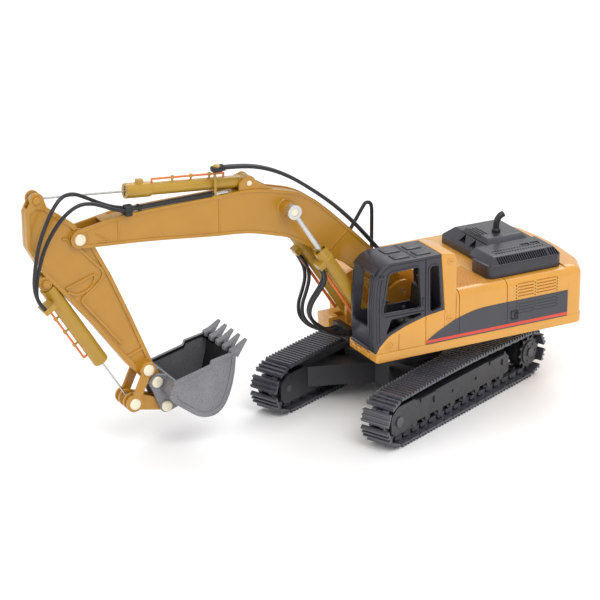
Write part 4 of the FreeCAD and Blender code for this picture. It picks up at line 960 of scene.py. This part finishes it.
def fittings():
    """The hoses' end block over the boom with its cap and post, and the clamp that holds the arm hoses."""
    x, z = BOOM_HOSE[0]
    body = soften(block("hose_end_block", x - 0.2, x + 5.0, 3.9, 8.0, z - 1.6, z + 1.0), 0.9, 4)
    collars = [lathe("collar", [(0, 1.35), (1.3, 1.35), (1.6, 1.1)], (x + 0.4, y, z), (-1, 0, -0.05))
               for y in BOOM_HOSES.values()]
    settle(join([body] + collars), "trim_black", "boom", ["hose_fittings"])
    profile = [(0, 1.7), (0.5, 1.7), (0.8, 1.3), (0.85, 0.2)]
    cap = lathe("hose_end_cap", profile, (x + 2.6, 6.0, z + 0.7), (0, 0, 1))
    post = soften(block("post", x + 1.9, x + 3.1, 3.7, 4.7, 113.6, z - 1.2), 0.25)
    foot = soften(block("foot", x + 0.8, x + 4.2, 2.6, 4.7, 113.6, 114.9), 0.25)
    settle(join([cap, post, foot]), "cylinder_yellow", "boom")
    clamp = soften(block("arm_hose_clamp", 139.6, 143.9, 3.8, 8.1, 114.9, 117.9), 0.9, 4)
    bar = soften(block("bar", 140.2, 143.4, 1.0, 7.6, 113.0, 116.0), 0.5, 3)
    settle(join([clamp, bar]), "trim_black", "boom")


def pin_heads():
    """Domed heads on the pins of the working gear."""
    heads = [("boom", BOOM_TIP, 5.4, 2.6), ("arm", ARM_ROD, 3.6, 1.8), ("arm", BUCKET_BASE, 3.6, 2.0),
             ("rocker", ROCKER, 7.2, 2.6), ("rocker", LINK, 7.2, 2.6), ("bucket", BUCKET, 5.7, 2.6),
             ("bucket", BUCKET_LINK, 5.7, 2.6)]
    for i, (body, pin, y, radius) in enumerate(heads):
        look = "boom_yellow" if pin in (ARM_ROD, BUCKET_BASE) else "pin_steel"
        profile = [(0, radius), (0.25, radius * 0.96), (0.42, radius * 0.8), (0.5, radius * 0.45),
                   (0.5, radius * 0.1)]
        for sign, side_name in ((1, "left"), (-1, "right")):
            dome = round_pin(f"pin_head_{i}_{side_name}", pin, profile, sign * y, sign)
            settle(dome, look, body, smooth=50)


def cylinder_details():
    """Bands, clips and the orange hard pipes on the barrels."""
    def turned(name, a, b, y, profile, look, body):
        direction = (b[0] - a[0], 0, b[1] - a[1])
        settle(lathe(name, profile, (a[0], y, a[1]), direction), look, body)

    length = math.dist(BOOM_BASE, BOOM_ROD) - 24.6
    for side_name, y in (("left", CYLINDER_Y), ("right", -CYLINDER_Y)):
        body = f"boom_barrel_{side_name}"
        turned(f"boom_barrel_band_{side_name}", BOOM_BASE, BOOM_ROD, y,
               [(length - 6.0, 3.32), (length - 5.8, 3.55), (length - 4.6, 3.55), (length - 4.4, 3.32)],
               "cylinder_yellow", body)
        ends = [along(BOOM_BASE, BOOM_ROD, d, -4.4) for d in (5.2, 38.4)]
        settle(tube(f"boom_pipe_{side_name}", at_depth(flow(ends, 8), y), 0.72), "pipe_orange", body)
    turned("arm_barrel_band", ARM_BASE, ARM_ROD, 0, [(46.4, 2.85), (46.6, 3.2), (47.2, 3.2), (47.3, 2.85)],
           "cylinder_yellow", "arm_barrel")
    studs = (("arm", ARM_BASE, ARM_ROD, 4.4, (18, 27, 36)), ("bucket", BUCKET_BASE, LINK, 5.2, (18, 26, 34)))
    for gear, start, stop, stand_off, places in studs:
        profile = [(0, 0.5), (stand_off - 3.1, 0.5), (stand_off - 2.9, 0.85), (stand_off - 1.7, 0.85),
                   (stand_off - 1.5, 0.6)]
        for i, d in enumerate(places):
            low, high = along(start, stop, d, 2.4), along(start, stop, d, stand_off + 0.9)
            turned(f"{gear}_pipe_stud_{i}", low, high, 0, profile, "cylinder_yellow", f"{gear}_barrel")


# nodes whose paint differs from their material slot's own look
PAINTED = {"track_pins": "track_black", "wheel_axles": "hub_grey", "arm_pins": "boom_yellow",
           "hose_manifold": "trim_black"}


def carried_over():
    """Every CAD node that stays gets the look of its material slot."""
    for part in frame["record"]["subparts"]:
        node = frame["nodes"][part["node"]]
        if node.hide_render:
            continue
        node.data.materials.clear()
        node.data.materials.append(MATERIALS[PAINTED.get(part["node"], part["material_slot"])])
        node.data.shade_smooth()
        node.data.set_sharp_from_angle(angle=math.radians(32))


# ---- stage -----------------------------------------------
# lamp: name, place and size in metres, watts
LAMPS = (("key", (0.5, 0.9, 1.3), 0.9, 12), ("fill", (1.3, -0.3, 0.7), 1.0, 4.5),
         ("back", (-0.9, -0.3, 1.1), 0.8, 6))


def stage():
    floor = slab("floor", [(-4, -4), (4, -4), (4, 4), (-4, 4)], -0.05, -0.0002, "plan")
    floor.data.materials.append(MATERIALS["floor"])
    bpy.context.scene.view_settings.view_transform = "Standard"
    world = bpy.data.worlds.new("studio")
    bpy.context.scene.world = world
    world.use_nodes = True
    background = world.node_tree.nodes["Background"]
    background.inputs["Color"].default_value = (1, 1, 1, 1)
    background.inputs["Strength"].default_value = 0.8
    for name, place, size, power in LAMPS:
        light = bpy.data.lights.new(name, "AREA")
        light.energy = power
        light.size = size
        lamp = bpy.data.objects.new(name, light)
        lamp.location = place
        lamp.rotation_euler = (Vector((0.05, 0, 0.05)) - Vector(place)).to_track_quat("-Z", "Y").to_euler()
        bpy.context.scene.collection.objects.link(lamp)


def camera():
    view = bpy.data.cameras.new("camera")
    view.lens = 150.0
    view.sensor_width = 36.0
    eye = bpy.data.objects.new("camera", view)
    eye.location = (0.8901, 0.6415, 0.4642)
    target = Vector((0.08188, 0.0032, 0.07136))
    roll = Matrix.Rotation(math.radians(-0.31), 4, "Z")
    aim = (target - eye.location).to_track_quat("-Z", "Y").to_matrix().to_4x4()
    eye.rotation_euler = (aim @ roll).to_euler()
    bpy.context.scene.collection.objects.link(eye)
    bpy.context.scene.camera = eye


camera()
hoses()
boom()
arm()
bucket()
cab()
roof()
side_panel()
inside()
rear_wall()
engine_cover()
side_band()
deck()
counterweight()
hood()
pipes_and_rails()
fittings()
pin_heads()
cylinder_details()
carried_over()
stage()
